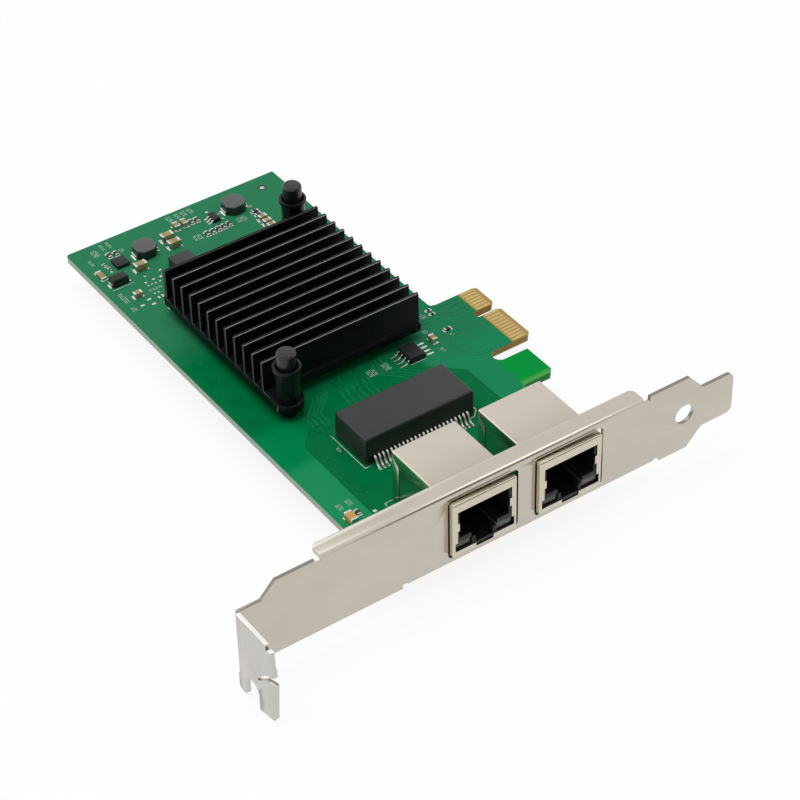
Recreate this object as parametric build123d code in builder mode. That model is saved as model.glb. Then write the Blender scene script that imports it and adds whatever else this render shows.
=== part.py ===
"""Two-port network interface card: a folded bracket, a circuit board with an edge connector,
two shielded jacks, a magnetics block, a controller under a pinned heat sink and small parts.

Millimetres. The origin is the centre of the rounded end of the screw notch, on the outer
face of the bracket's tab. X runs along the bracket, away from the tab. Y runs from the
bracket into the card. Z points up from the board's component side.
"""
import os
from math import cos, radians, sin

from build123d import *

os.makedirs("parts", exist_ok=True)

# Where the bracket's front face and the board's component side lie, from the origin.
face_y = 4.4
board_z = 5.0

# Bracket: one sheet, folded.
sheet = 0.86
bend_in = 0.2
bracket_length = 120.02
bracket_bottom = -3.62
bracket_width = 18.42
neck_top = 11.35
neck_end = 5.8
shoulder_run = 3.3
tongue_start = 112.0
tongue_width = 10.19
tongue_bottom = 0.3
tongue_shoulder = 3.75
tongue_corner = 1.5
flange_depth = 4.2
flange_corner = 1.3
relief = 1.5
top_flange = (19.3, 96.5)
bottom_flange = (38.9, 99.7)
round_hole = 4.7
round_hole_x = 107.3
round_hole_z = 5.6

# Tab: it turns forward from the bracket's end and carries the screw notch.
tab_length = 11.95
tab_lip = 0.5
notch_r = 2.21
notch_y = -face_y
notch_z = -board_z
finger_bottom = -8.3
finger_inner = 0.45
finger_corner = 0.9
fold_relief = 0.7
arm_bottom = -8.5
arm_corner = 1.1
arm_taper = 0.85
arm_angle = 8.0

# Circuit board.
board_left = 35.56
board_right = 90.34
board_near = 2.4
board_far = 128.33
board_thick = 1.6
board_corner = 0.8
tip_x = 102.7
key_y = 57.0
key_width = 1.9
key_depth = 6.4
key_flare = 1.2
tip_chamfer = 1.25
edge_far = 65.05
edge_near = 44.85
hook_x = 98.7
hook_far = 41.3
hook_near = 32.0
slot_x = 91.0
inner_corner = 1.2
bevel_run = 1.3
bevel_cut = 0.45

# Edge contacts.
finger_pitch = 1.0
finger_width = 0.7
finger_start = 97.9
gold = 0.05
near_fingers = 11
far_fingers = 7
key_to_finger = 1.5

# Pads and small gaps.
tin = 0.05
fit = 0.05

# Jacks.
jack_x = 48.45
jack_pitch = 21.05
jack_width = 15.5
jack_front = -1.3
jack_depth = 20.7
jack_top = 12.6
jack_lip = -0.5
shield_sheet = 0.25
jack_bevel = 0.2
mouth_half = 6.5
mouth_bottom = 2.6
mouth_top = 10.5
lamp_mouth_half = 7.1
lamp_mouth_bottom = 0.45
lip_gap_half = 2.1
catch = 0.45
catch_bottom = 5.6
catch_top = 7.6
seam = 0.15
seam_z = 9.7
board_lock = 1.4
board_lock_y = 12.0
lock_slot = (0.8, 2.0)
plug_width = 11.9
plug_bottom = 3.6
plug_top = 10.4
plug_depth = 14.0
latch_width = 6.2
latch_step = 2.2
latch_slot = 4.2
latch_floor = 0.5
lamp_width = 4.1
lamp_height = 1.9
lamp_length = 6.0
lamp_from_side = 0.7
lamp_back = 0.35
lamp_bevel = 0.25
post = 3.2
post_from_middle = 5.715
post_y = 9.4
post_length = 2.9
post_gap = 0.05
peg_sides = 12

# Jack contacts.
wire_pitch = 1.02
wire_wide = 0.45
wire_thick = 0.35
wires = 8
wire_bed = 11.3
wire_front = 2.9
wire_drop = 10.2
wire_end_y = 9.8
wire_end_z = 8.0
wire_bend = 0.45
rear_row = 16.4
row_step = 1.6
tail_length = 3.0
tail_hole = 0.9

# Window in the bracket for each jack.
window_width = 16.95
window_height = 14.9
window_from_jack = -0.25
window_bottom = -1.9
window_corner = 1.0

# Fixing ears under the board and their screws.
ear_width = 6.2
ear_reach = 10.0
ear_step = 0.4
ear_from_jack = 3.0
ear_screw_y = 7.0
screw = 2.5
screw_head = 4.3
screw_head_high = 1.6
head_bevel = 0.4
screw_length = 2.9
screw_slack = 0.4
thread_slack = 0.1

# Magnetics block.
mag_x = 63.05
mag_y = 35.83
mag_long = 26.8
mag_wide = 11.2
mag_gap = 0.4
mag_top = 6.9
mag_chamfer = 0.35
mag_leads = 24
mag_pitch = 1.0
mag_lead = 0.45
mag_gauge = 0.2
mag_shoulder = 2.0
mag_reach = 2.5
mag_foot = 0.9

# Controller, pad and heat sink.
sink_x = 62.6
sink_y = 77.4
chip_side = 25.0
chip_base = 0.9
cap_side = 22.0
cap_high = 1.2
pad_thick = 0.25
sink_long = 39.5
sink_wide = 40.35
sink_base = 2.05
sink_top = 12.0
fins = 12
fin_thick = 0.65
fin_inset = 0.68
sink_ear = 3.3
pin_out = 3.87
sink_hole = 3.3
pin_hole = 3.1

# Push pins: a split sleeve and the pin that spreads it.
sleeve_body = 5.3
sleeve_high = 7.5
rim = 6.1
rim_high = 1.0
cup = 4.9
cup_deep = 1.7
shank = 3.0
barb = 3.9
barb_tip = 3.0
barb_high = 1.0
barb_long = 2.6
bore = 2.0
split = 0.5
pin_cap = 4.3
pin_cap_high = 5.3
pin_cap_edge = 0.4
pin_shaft = 1.8
pin_end = 0.4

bend_out = bend_in + sheet
bracket_top = bracket_bottom + bracket_width
jack_back = jack_front + jack_depth
jack_middle = jack_width / 2
jacks = [jack_x + n * jack_pitch for n in range(2)]
ear_x = (bottom_flange[0] + ear_width / 2, jacks[-1] + jack_width + ear_from_jack)
lamp_right = jack_width - lamp_from_side - lamp_width
sink_bottom = chip_base + cap_high + pad_thick
ear_top = sink_bottom + sink_base
pin_dx = sink_long / 2 - sink_ear
pin_dy = sink_wide / 2 + pin_out
sink_pins = [(sink_x - pin_dx, sink_y - pin_dy), (sink_x + pin_dx, sink_y + pin_dy)]
wire_rows = (rear_row, rear_row + row_step)


def deck(height=0.0):
    """Level plane over the component side; its x and y are the card's."""
    return Plane((0, face_y, board_z + height))


def wall(depth=0.0):
    """Upright plane behind the bracket's front face; its x and y are the card's x and z."""
    return Plane(origin=(0, face_y + depth, board_z), x_dir=(1, 0, 0), z_dir=(0, -1, 0))


def side(x):
    """Upright plane across the bracket; its x and y are the card's y and z."""
    return Plane(origin=(x, face_y, board_z), x_dir=(0, 1, 0), z_dir=(1, 0, 0))


def prism(plane, amount, points, radius=0.0, mode=Mode.ADD):
    """A straight block from a closed outline; radius is one value or one per corner."""
    radii = [radius] * len(points) if isinstance(radius, (int, float)) else radius
    with BuildSketch(plane) as outline:
        with BuildLine():
            if max(radii) > 0:
                FilletPolyline(*points, radius=radii, close=True)
            else:
                Polyline(*points, close=True)
        make_face()
    extrude(outline.sketch, amount=amount, mode=mode)


def slab(plane, amount, low, high, mode=Mode.ADD):
    """A block between two corners of the plane."""
    (x0, y0), (x1, y1) = low, high
    prism(plane, amount, [(x0, y0), (x1, y0), (x1, y1), (x0, y1)], mode=mode)


def block(low, high, mode=Mode.ADD):
    """A box between two corners in the card's x, y and z."""
    slab(deck(low[2]), high[2] - low[2], low[:2], high[:2], mode)


def drill(plane, amount, spots, diameter):
    """Round holes, sunk from the plane against its normal."""
    with BuildSketch(plane) as rounds:
        with Locations(*spots):
            Circle(diameter / 2)
    extrude(rounds.sketch, amount=-amount, mode=Mode.SUBTRACT)


# The bracket. Its plate stands at the front; the flanges fold back along both long edges.
arm_plane = Plane(
    origin=(0, face_y + notch_y - notch_r, board_z),
    x_dir=(-sin(radians(arm_angle)), cos(radians(arm_angle)), 0),
    z_dir=(cos(radians(arm_angle)), sin(radians(arm_angle)), 0),
)
hinge = notch_y - notch_r
arm_reach = tab_length + hinge
flange_low = bracket_bottom + sheet
ear_low = -board_thick - sheet
ear_rise = -board_thick - flange_low

with BuildPart() as bracket:
    tongue_top = tongue_bottom + tongue_width
    prism(
        wall(sheet),
        sheet,
        [
            (bend_out, bracket_bottom),
            (bottom_flange[0] - relief, bracket_bottom),
            (bottom_flange[0] - relief, bracket_bottom + bend_out),
            (bottom_flange[1] + relief, bracket_bottom + bend_out),
            (bottom_flange[1] + relief, bracket_bottom),
            (tongue_start - tongue_shoulder, bracket_bottom),
            (tongue_start, tongue_bottom),
            (bracket_length, tongue_bottom),
            (bracket_length, tongue_top),
            (tongue_start, tongue_top),
            (tongue_start - tongue_shoulder, bracket_top),
            (top_flange[1] + relief, bracket_top),
            (top_flange[1] + relief, bracket_top - bend_out),
            (top_flange[0] - relief, bracket_top - bend_out),
            (top_flange[0] - relief, bracket_top),
            (neck_end + shoulder_run, bracket_top),
            (neck_end, neck_top),
            (bend_out, neck_top),
        ],
        [0, 0, 0, 0, 0, 0.5, 0.8, tongue_corner, tongue_corner, 0.8, 0.5, 0, 0, 0, 0, 0, 0, 0],
    )
    for start in jacks:
        left = start + window_from_jack
        right = left + window_width
        low, high = window_bottom, window_bottom + window_height
        window = [(left, low), (right, low), (right, high), (left, high)]
        prism(wall(sheet), sheet, window, window_corner, Mode.SUBTRACT)
    drill(wall(0), sheet, [(round_hole_x, round_hole_z)], round_hole)

    # The bend to the tab, then the tab with its lip, slit and notch.
    with BuildSketch(deck(bracket_bottom)) as turn:
        with BuildLine():
            CenterArc((bend_out, -bend_in), bend_out, 90, 90)
            Line((0, -bend_in), (sheet, -bend_in))
            CenterArc((bend_out, -bend_in), bend_in, 90, 90)
            Line((bend_out, 0), (bend_out, sheet))
        make_face()
    extrude(turn.sketch, amount=neck_top - bracket_bottom)
    prism(
        side(0),
        sheet,
        [
            (-bend_in, neck_top),
            (-tab_length + 1.9, neck_top),
            (-tab_length + 1.7, neck_top - 1.4),
            (-tab_length + 1.2, neck_top - 1.4),
            (-tab_length + 1.1, neck_top - 0.8),
            (-tab_length, neck_top - 0.8),
            (-tab_length, neck_top - 4.3),
            (-tab_length - tab_lip, notch_z + 11.0),
            (-tab_length - tab_lip, notch_z + 9.6),
            (-tab_length + 0.35, notch_z + 9.0),
            (-tab_length + 1.65, notch_z + 8.5),
            (-tab_length + 2.55, notch_z + 7.9),
            (hinge - 1.0, notch_z + 6.1),
            (hinge - 0.1, notch_z + 5.1),
            (hinge, notch_z + 4.7),
            (hinge, finger_bottom),
            (finger_inner, finger_bottom),
            (finger_inner, bracket_bottom - fold_relief),
            (-bend_in, bracket_bottom - fold_relief),
        ],
        [0, 0, 0, 0, 0, 0.6, 0.8, 0, 0, 0, 0, 0.6, 0, 0, 0, 0, 0, 0, 0],
    )
    with BuildSketch(side(0)) as notch:
        with Locations((notch_y, notch_z)):
            Circle(notch_r)
        with Locations((notch_y, (notch_z + arm_bottom) / 2 - 1)):
            Rectangle(2 * notch_r, notch_z - arm_bottom + 2)
    extrude(notch.sketch, amount=sheet, mode=Mode.SUBTRACT)
    fillet(bracket.edges().filter_by(Axis.X).group_by(Axis.Z)[0], finger_corner)
    prism(
        arm_plane,
        sheet,
        [
            (0, arm_bottom),
            (-arm_reach + arm_taper, arm_bottom - 0.1),
            (-arm_reach + 0.15, notch_z + 6.6),
            (-2.3, notch_z + 6.2),
            (-0.3, notch_z + 4.5),
            (0, notch_z + 4.5),
        ],
        [0, arm_corner, 0, 0.6, 0, 0],
    )

    # The two flanges, each a bend and a flat strip, cut from one profile.
    for (start, end), low, up in (
        (top_flange, bracket_top, -1),
        (bottom_flange, bracket_bottom, 1),
    ):
        centre = low + up * bend_out
        first = 135 + up * 45
        with BuildSketch(side(start)) as profile:
            with BuildLine():
                CenterArc((bend_out, centre), bend_out, first, 90)
                CenterArc((bend_out, centre), bend_in, first, 90)
                Line((0, centre), (sheet, centre))
                Polyline(
                    (bend_out, low),
                    (flange_depth, low),
                    (flange_depth, low + up * sheet),
                    (bend_out, low + up * sheet),
                )
            make_face()
        extrude(profile.sketch, amount=end - start)
    corners = bracket.edges().filter_by(Axis.Z).group_by(Axis.Y)[-1]
    fillet(corners, flange_corner)

    # Ears step up from the bottom flange and lie against the underside of the board.
    for x in ear_x:
        prism(
            side(x - ear_width / 2),
            ear_width,
            [
                (flange_depth - flange_corner, bracket_bottom),
                (flange_depth + ear_step, bracket_bottom),
                (flange_depth + ear_step + ear_rise, ear_low),
                (ear_reach, ear_low),
                (ear_reach, -board_thick),
                (flange_depth + ear_rise, -board_thick),
                (flange_depth, flange_low),
                (flange_depth - flange_corner, flange_low),
            ],
        )
    drill(deck(-board_thick), sheet, [(x, ear_screw_y) for x in ear_x], screw + thread_slack)
bracket.part.label = "bracket"
export_step(bracket.part, "parts/bracket.step")


# The two screws that hold the board to the ears, with a cross recess.
with BuildPart() as bracket_screws:
    for x in ear_x:
        with BuildSketch(deck()) as head:
            with Locations((x, ear_screw_y)):
                Circle(screw_head / 2)
        extrude(head.sketch, amount=screw_head_high)
    chamfer(bracket_screws.edges().group_by(Axis.Z)[-1], head_bevel)
    for x in ear_x:
        with BuildSketch(deck()) as stem:
            with Locations((x, ear_screw_y)):
                Circle(screw / 2)
        extrude(stem.sketch, amount=-screw_length)
        with BuildSketch(deck(screw_head_high)) as cross:
            with Locations((x, ear_screw_y)):
                Rectangle(screw_head * 0.55, screw_head * 0.14)
                Rectangle(screw_head * 0.14, screw_head * 0.55)
        extrude(cross.sketch, amount=-screw_head_high * 0.55, mode=Mode.SUBTRACT)
bracket_screws.part.label = "bracket_screws"
export_step(bracket_screws.part, "parts/bracket_screws.step")


# The board: one outline with the keyed edge connector, then its holes.
key_bottom = tip_x - key_depth
tail_spots = [
    (start + jack_middle + (n - (wires - 1) / 2) * wire_pitch, wire_rows[n % 2])
    for start in jacks
    for n in range(wires)
]
post_spots = [
    (start + jack_middle + turn * post_from_middle, post_y) for start in jacks for turn in (-1, 1)
]
lock_spots = [
    (start + jack_middle + turn * (jack_width - shield_sheet) / 2, board_lock_y)
    for start in jacks
    for turn in (-1, 1)
]

with BuildPart() as circuit_board:
    key_round = key_width / 2
    slot_round = (edge_near - hook_far) / 2
    prism(
        deck(),
        -board_thick,
        [
            (board_left, board_near),
            (board_right, board_near),
            (board_right, hook_near),
            (hook_x - 1.0, hook_near),
            (hook_x, hook_near + 1.0),
            (hook_x, hook_far),
            (slot_x + slot_round, hook_far),
            (slot_x + slot_round, edge_near),
            (tip_x - tip_chamfer, edge_near),
            (tip_x, edge_near + tip_chamfer),
            (tip_x, edge_far),
            (board_right, edge_far),
            (board_right, board_far),
            (board_left, board_far),
        ],
        [0, 0, 0.8, 0, 0, 0, 0, 0, 0, 0, 0, inner_corner, 0, board_corner],
    )
    with BuildSketch(deck()) as slots:
        with Locations((slot_x + slot_round, (edge_near + hook_far) / 2)):
            Circle(slot_round)
        with Locations((key_bottom + key_round, key_y)):
            Circle(key_round)
        with BuildLine():
            Polyline(
                (key_bottom + key_round, key_y - key_round),
                (tip_x + 1.0, key_y - key_round),
                (tip_x + 1.0, key_y + key_round + key_flare + 1.0),
                (tip_x - key_flare, key_y + key_round),
                (key_bottom + key_round, key_y + key_round),
                close=True,
            )
        make_face()
    extrude(slots.sketch, amount=-board_thick, mode=Mode.SUBTRACT)
    over = bevel_run + 1
    for face, into in ((0, -1), (-board_thick, 1)):
        prism(
            wall(edge_far + 1),
            edge_far - edge_near + 2,
            [
                (tip_x - bevel_run, face),
                (tip_x - bevel_run + over, face),
                (tip_x - bevel_run + over, face + into * bevel_cut * over / bevel_run),
            ],
            mode=Mode.SUBTRACT,
        )
    with BuildSketch(deck()) as tail_holes:
        with Locations(*lock_spots):
            Rectangle(*lock_slot)
        with Locations(*post_spots):
            RegularPolygon(post / 2 + post_gap, peg_sides)
        with Locations(*tail_spots):
            Rectangle(tail_hole, tail_hole)
    extrude(tail_holes.sketch, amount=-board_thick, mode=Mode.SUBTRACT)
    drill(deck(), board_thick, sink_pins, pin_hole)
    drill(deck(), board_thick, [(x, ear_screw_y) for x in ear_x], screw + screw_slack)
circuit_board.part.label = "circuit_board"
export_step(circuit_board.part, "parts/circuit_board.step")


# Gold contacts on both faces of the edge connector.
near_rows = [key_y - key_to_finger - n * finger_pitch for n in range(near_fingers)]
far_rows = [key_y + key_to_finger + n * finger_pitch for n in range(far_fingers)]


def fingers(height):
    """One face's row of contacts, from its start to where the tip's bevel begins."""
    with BuildSketch(deck(height)) as rows:
        with Locations(*[((finger_start + tip_x - bevel_run) / 2, y) for y in near_rows + far_rows]):
            Rectangle(tip_x - bevel_run - finger_start, finger_width)
    extrude(rows.sketch, amount=gold)


with BuildPart() as contacts_upper:
    fingers(0)
contacts_upper.part.label = "edge_contacts_component_side"
export_step(contacts_upper.part, "parts/edge_contacts_component_side.step")

with BuildPart() as contacts_lower:
    fingers(-board_thick - gold)
contacts_lower.part.label = "edge_contacts_solder_side"
export_step(contacts_lower.part, "parts/edge_contacts_solder_side.step")


# The jacks. Each has a folded shield, a moulded insert, eight bent contacts and two lamps.
mouth = [
    (lip_gap_half, jack_lip - 1),
    (lip_gap_half, lamp_mouth_bottom),
    (lamp_mouth_half, lamp_mouth_bottom),
    (lamp_mouth_half, mouth_bottom),
    (mouth_half, mouth_bottom),
    (mouth_half, catch_bottom),
    (mouth_half - catch, catch_bottom),
    (mouth_half - catch, catch_top),
    (mouth_half, catch_top),
    (mouth_half, mouth_top),
]
lip_back = board_near - 0.2


def shield(start):
    """Tin shield: open below, the port in front, seams scored in both sides, two board locks."""
    end = start + jack_width
    prism(
        side(start),
        jack_width,
        [
            (jack_front, jack_lip),
            (lip_back, jack_lip),
            (lip_back, 0),
            (jack_back, 0),
            (jack_back, jack_top),
            (jack_front, jack_top),
        ],
    )
    tall = edges().filter_by(Axis.Z).filter_by(lambda edge: edge.length > jack_top / 2)
    chamfer(tall + edges().group_by(Axis.Z)[-1], jack_bevel)
    block(
        (start + shield_sheet, jack_front + shield_sheet, jack_lip - 1),
        (end - shield_sheet, jack_back - shield_sheet, jack_top - shield_sheet),
        Mode.SUBTRACT,
    )
    middle = start + jack_middle
    outline = [(middle + x, z) for x, z in mouth] + [(middle - x, z) for x, z in reversed(mouth)]
    prism(wall(jack_front + 1), 2, outline, mode=Mode.SUBTRACT)
    fold_y = jack_back - 2.6
    for face, into in ((start, seam), (end, -seam)):
        score(face, into, (jack_front + 2, seam_z), (fold_y, seam_z))
        score(face, into, (fold_y, 1.0), (fold_y, seam_z))
        score(face, into, (fold_y, seam_z), (jack_back - 0.4, jack_top - 0.9))
    for x in (start, end - shield_sheet):
        block(
            (x, board_lock_y - board_lock / 2, -post_length),
            (x + shield_sheet, board_lock_y + board_lock / 2, shield_sheet),
        )


def score(x, into, low, high):
    """A seam along one side face, from low to high, as deep as it is wide."""
    with BuildSketch(side(x)) as line:
        with BuildLine():
            Line(low, high)
        trace(line_width=seam)
    extrude(line.sketch, amount=into, mode=Mode.SUBTRACT)


insert_front = jack_front + shield_sheet + fit
insert_back = jack_back - shield_sheet - fit
insert_top = jack_top - shield_sheet - fit
chamber_front = rear_row - 1.0
bed_half = wires * wire_pitch / 2 + 0.2


def insert(start):
    """Moulded insert: plug cavity with its latch channel, lamp pockets, wire bed and posts."""
    middle = start + jack_middle
    block(
        (start + shield_sheet + fit, insert_front, 0),
        (start + jack_width - shield_sheet - fit, insert_back, insert_top),
    )
    ahead = insert_front - 1
    cavity_end = insert_front + plug_depth
    for half, low, high in (
        (plug_width / 2, plug_bottom, plug_top),
        (latch_width / 2, latch_step, plug_bottom),
        (latch_slot / 2, latch_floor, latch_step),
    ):
        block((middle - half, ahead, low), (middle + half, cavity_end, high), Mode.SUBTRACT)
    for left in (start + lamp_from_side, start + lamp_right):
        block(
            (left, ahead, latch_floor),
            (left + lamp_width, insert_front + lamp_back + lamp_length, latch_floor + lamp_height),
            Mode.SUBTRACT,
        )
    for low_y, high_y, low_z, high_z in (
        (wire_front - 0.5, insert_back + 1, wire_bed, insert_top + 1),
        (wire_front - 0.5, wire_front + 0.9, plug_top - 0.5, wire_bed + 0.5),
        (chamber_front, insert_back + 1, -1, wire_bed + 0.5),
    ):
        block((middle - bed_half, low_y, low_z), (middle + bed_half, high_y, high_z), Mode.SUBTRACT)
    with BuildSketch(deck()) as pegs:
        with Locations((middle - post_from_middle, post_y), (middle + post_from_middle, post_y)):
            RegularPolygon(post / 2, peg_sides)
    extrude(pegs.sketch, amount=-post_length)


def contacts(start):
    """Eight wires: up from the board, forward along the bed, then down and back into the cavity."""
    height = wire_bed + wire_thick / 2
    for n in range(wires):
        row = wire_rows[n % 2]
        centre = start + jack_middle + (n - (wires - 1) / 2) * wire_pitch
        with BuildSketch(side(centre - wire_wide / 2)) as wire:
            with BuildLine():
                Polyline(
                    (row, -tail_length),
                    (row, height - wire_bend),
                    (row - wire_bend, height),
                    (wire_front + wire_bend, height),
                    (wire_front, height - wire_bend),
                    (wire_front, wire_drop),
                    (wire_end_y, wire_end_z),
                )
            trace(line_width=wire_thick)
        extrude(wire.sketch, amount=wire_wide)


def lamp(left):
    """A lens block standing on the floor of its pocket."""
    front = insert_front + lamp_back
    block(
        (left + fit, front, latch_floor),
        (left + lamp_width - fit, front + lamp_length - fit, latch_floor + lamp_height - fit),
    )


with BuildPart() as shield_left:
    shield(jacks[0])
shield_left.part.label = "jack_shield_left"
export_step(shield_left.part, "parts/jack_shield_left.step")

with BuildPart() as shield_right:
    shield(jacks[1])
shield_right.part.label = "jack_shield_right"
export_step(shield_right.part, "parts/jack_shield_right.step")

with BuildPart() as insert_left:
    insert(jacks[0])
insert_left.part.label = "jack_insert_left"
export_step(insert_left.part, "parts/jack_insert_left.step")

with BuildPart() as insert_right:
    insert(jacks[1])
insert_right.part.label = "jack_insert_right"
export_step(insert_right.part, "parts/jack_insert_right.step")

with BuildPart() as contacts_left:
    contacts(jacks[0])
contacts_left.part.label = "jack_contacts_left"
export_step(contacts_left.part, "parts/jack_contacts_left.step")

with BuildPart() as contacts_right:
    contacts(jacks[1])
contacts_right.part.label = "jack_contacts_right"
export_step(contacts_right.part, "parts/jack_contacts_right.step")

with BuildPart() as link_lamps:
    for start in jacks:
        lamp(start + lamp_from_side)
    chamfer(link_lamps.edges().group_by(Axis.Y)[0], lamp_bevel)
link_lamps.part.label = "link_lamps"
export_step(link_lamps.part, "parts/link_lamps.step")

with BuildPart() as activity_lamps:
    for start in jacks:
        lamp(start + lamp_right)
    chamfer(activity_lamps.edges().group_by(Axis.Y)[0], lamp_bevel)
activity_lamps.part.label = "activity_lamps"
export_step(activity_lamps.part, "parts/activity_lamps.step")


def lead(root, out, reach, shoulder, foot, gauge):
    """Side outline of one bent lead from the body's face, as (distance, height) points."""
    bend = gauge * 0.8
    top = [(0, shoulder + gauge), (2 * gauge, shoulder + gauge), (reach - foot, gauge), (reach, gauge)]
    under = [(reach, 0), (reach - foot - bend, 0), (2 * gauge - bend, shoulder), (0, shoulder)]
    return [(root + out * run, tin + height) for run, height in top + under]


# The magnetics block between the jacks and the connector, with a row of leads on each side.
mag_rows = [mag_x + (n - (mag_leads - 1) / 2) * mag_pitch for n in range(mag_leads)]

with BuildPart() as magnetics_body:
    half_x, half_y = mag_long / 2, mag_wide / 2
    block((mag_x - half_x, mag_y - half_y, mag_gap), (mag_x + half_x, mag_y + half_y, mag_top))
    chamfer(magnetics_body.edges().group_by(Axis.Z)[-1], mag_chamfer)
magnetics_body.part.label = "magnetics_body"
export_step(magnetics_body.part, "parts/magnetics_body.step")

with BuildPart() as magnetics_leads:
    for out in (-1, 1):
        bent = lead(mag_y + out * mag_wide / 2, out, mag_reach, mag_shoulder, mag_foot, mag_gauge)
        for x in mag_rows:
            prism(side(x - mag_lead / 2), mag_lead, bent)
magnetics_leads.part.label = "magnetics_leads"
export_step(magnetics_leads.part, "parts/magnetics_leads.step")


# The controller, the soft pad on it and the finned heat sink with its two pinned ears.
with BuildPart() as controller_chip:
    for half, low, high in ((chip_side / 2, 0, chip_base), (cap_side / 2, chip_base, chip_base + cap_high)):
        block((sink_x - half, sink_y - half, low), (sink_x + half, sink_y + half, high))
    chamfer(controller_chip.edges().group_by(Axis.Z)[-1], 0.2)
controller_chip.part.label = "controller_chip"
export_step(controller_chip.part, "parts/controller_chip.step")

with BuildPart() as heat_pad:
    half = cap_side / 2 - 0.5
    block(
        (sink_x - half, sink_y - half, chip_base + cap_high),
        (sink_x + half, sink_y + half, sink_bottom),
    )
heat_pad.part.label = "heat_pad"
export_step(heat_pad.part, "parts/heat_pad.step")

with BuildPart() as heat_sink:
    with BuildSketch(deck(sink_bottom)) as plate:
        with Locations((sink_x, sink_y)):
            Rectangle(sink_long, sink_wide)
        for (x, y), inward in zip(sink_pins, (1, -1)):
            run = pin_out + 1
            with Locations((x, y)):
                Circle(sink_ear)
            with Locations((x, y + inward * run / 2)):
                Rectangle(2 * sink_ear, run)
    extrude(plate.sketch, amount=sink_base)
    first_fin = sink_y - sink_wide / 2 + fin_inset
    fin_pitch = (sink_wide - 2 * fin_inset - fin_thick) / (fins - 1)
    for n in range(fins):
        low = first_fin + n * fin_pitch
        block(
            (sink_x - sink_long / 2, low, ear_top),
            (sink_x + sink_long / 2, low + fin_thick, sink_top),
        )
    drill(deck(ear_top), sink_base, sink_pins, sink_hole)
heat_sink.part.label = "heat_sink"
export_step(heat_sink.part, "parts/heat_sink.step")


# Push pins: turned outlines around each pin's axis, on a split peg with a barb.
sleeve_top = ear_top + sleeve_high + rim_high
cup_floor = sleeve_top - cup_deep
sleeve_end = -board_thick - barb_long


def turned(spot, outline):
    """Turn (radius, height) points around the upright axis through a spot on the board."""
    x, y = spot
    centre = Plane(origin=(x, face_y + y, board_z), x_dir=(1, 0, 0), z_dir=(0, -1, 0))
    with BuildSketch(centre) as half:
        with BuildLine():
            Polyline(*outline, close=True)
        make_face()
    revolve(half.sketch, axis=Axis((x, face_y + y, 0), (0, 0, 1)))


with BuildPart() as pin_sleeves:
    for x, y in sink_pins:
        for top, amount, across in (
            (ear_top, ear_top + board_thick, shank),
            (-board_thick, barb_high, barb),
            (-board_thick - barb_high, barb_long - barb_high, barb_tip),
        ):
            with BuildSketch(deck(top)) as peg:
                with Locations((x, y)):
                    RegularPolygon(across / 2, peg_sides)
            extrude(peg.sketch, amount=-amount)
        turned(
            (x, y),
            [
                (cup / 2, sleeve_top),
                (cup / 2, cup_floor),
                (bore / 2, cup_floor),
                (bore / 2, ear_top),
                (sleeve_body / 2, ear_top),
                (sleeve_body / 2, sleeve_top - rim_high),
                (rim / 2, sleeve_top - rim_high),
                (rim / 2, sleeve_top),
            ],
        )
        drill(deck(ear_top), ear_top - sleeve_end, [(x, y)], bore)
        low = (x - split / 2, y - barb, sleeve_end - 1)
        high = (x + split / 2, y + barb, sink_bottom)
        block(low, high, Mode.SUBTRACT)
pin_sleeves.part.label = "pin_sleeves"
export_step(pin_sleeves.part, "parts/pin_sleeves.step")

with BuildPart() as centre_pins:
    cap_top = cup_floor + pin_cap_high
    for spot in sink_pins:
        turned(
            spot,
            [
                (0, sleeve_end + pin_end),
                (pin_shaft / 2, sleeve_end + pin_end),
                (pin_shaft / 2, cup_floor),
                (pin_cap / 2, cup_floor),
                (pin_cap / 2, cap_top - pin_cap_edge),
                (pin_cap / 2 - pin_cap_edge, cap_top),
                (0, cap_top),
            ],
        )
centre_pins.part.label = "centre_pins"
export_step(centre_pins.part, "parts/centre_pins.step")


# Small parts. Their places are given from the board's nearest corner or from the key.
chip_0402 = (1.0, 0.5, 0.35, 0.25)
chip_0603 = (1.6, 0.8, 0.5, 0.35)
chip_0805 = (2.0, 1.25, 1.2, 0.45)
chip_1206 = (3.0, 1.6, 1.7, 0.55)
chip_low = (3.2, 1.3, 0.5, 0.5)
chip_skin = 0.04
pad_over = 0.3
pad_side = 0.12
foot_pad = 0.9
coil_side = 5.1
coil_cut = 1.3
coil_high = 2.4
coil_clip = 0.35
clip_high = 0.9
clip_wide = 2.0
diode_clip_wide = 1.4
choke_side = 5.3
choke_high = 2.6
diode_long = 3.9
diode_wide = 2.4
diode_high = 2.0
flash_x = -12.84
flash_y = -3.1
flash_wide = 3.9
flash_long = 4.9
flash_pad = 2.1
flash_pad_from = 3.35
flash_high = 1.5
flash_pitch = 1.27
regulator_wide = 1.6
regulator_long = 2.9
regulator_high = 1.05
regulator_pitch = 0.95
small_lead = 0.4
small_gauge = 0.18
small_reach = 1.05
small_foot = 0.5
power_side = 3.2
power_high = 0.9


def spots(corner, places):
    """Places (x, y, turn) from a corner of the board, as card coordinates."""
    return [(corner[0] + x, corner[1] + y, turn) for x, y, turn in places]


def blocks(places, length, width, base, height, mode=Mode.ADD):
    """Upright blocks at each place, turned in plan."""
    with BuildSketch(deck(base)) as plan:
        for x, y, turn in places:
            with Locations((x, y)):
                Rectangle(length, width, rotation=turn)
    extrude(plan.sketch, amount=height, mode=mode)


far_corner = (board_left, board_far)
near_corner = (board_left, board_near)
right_edge = (board_right, key_y)

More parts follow.
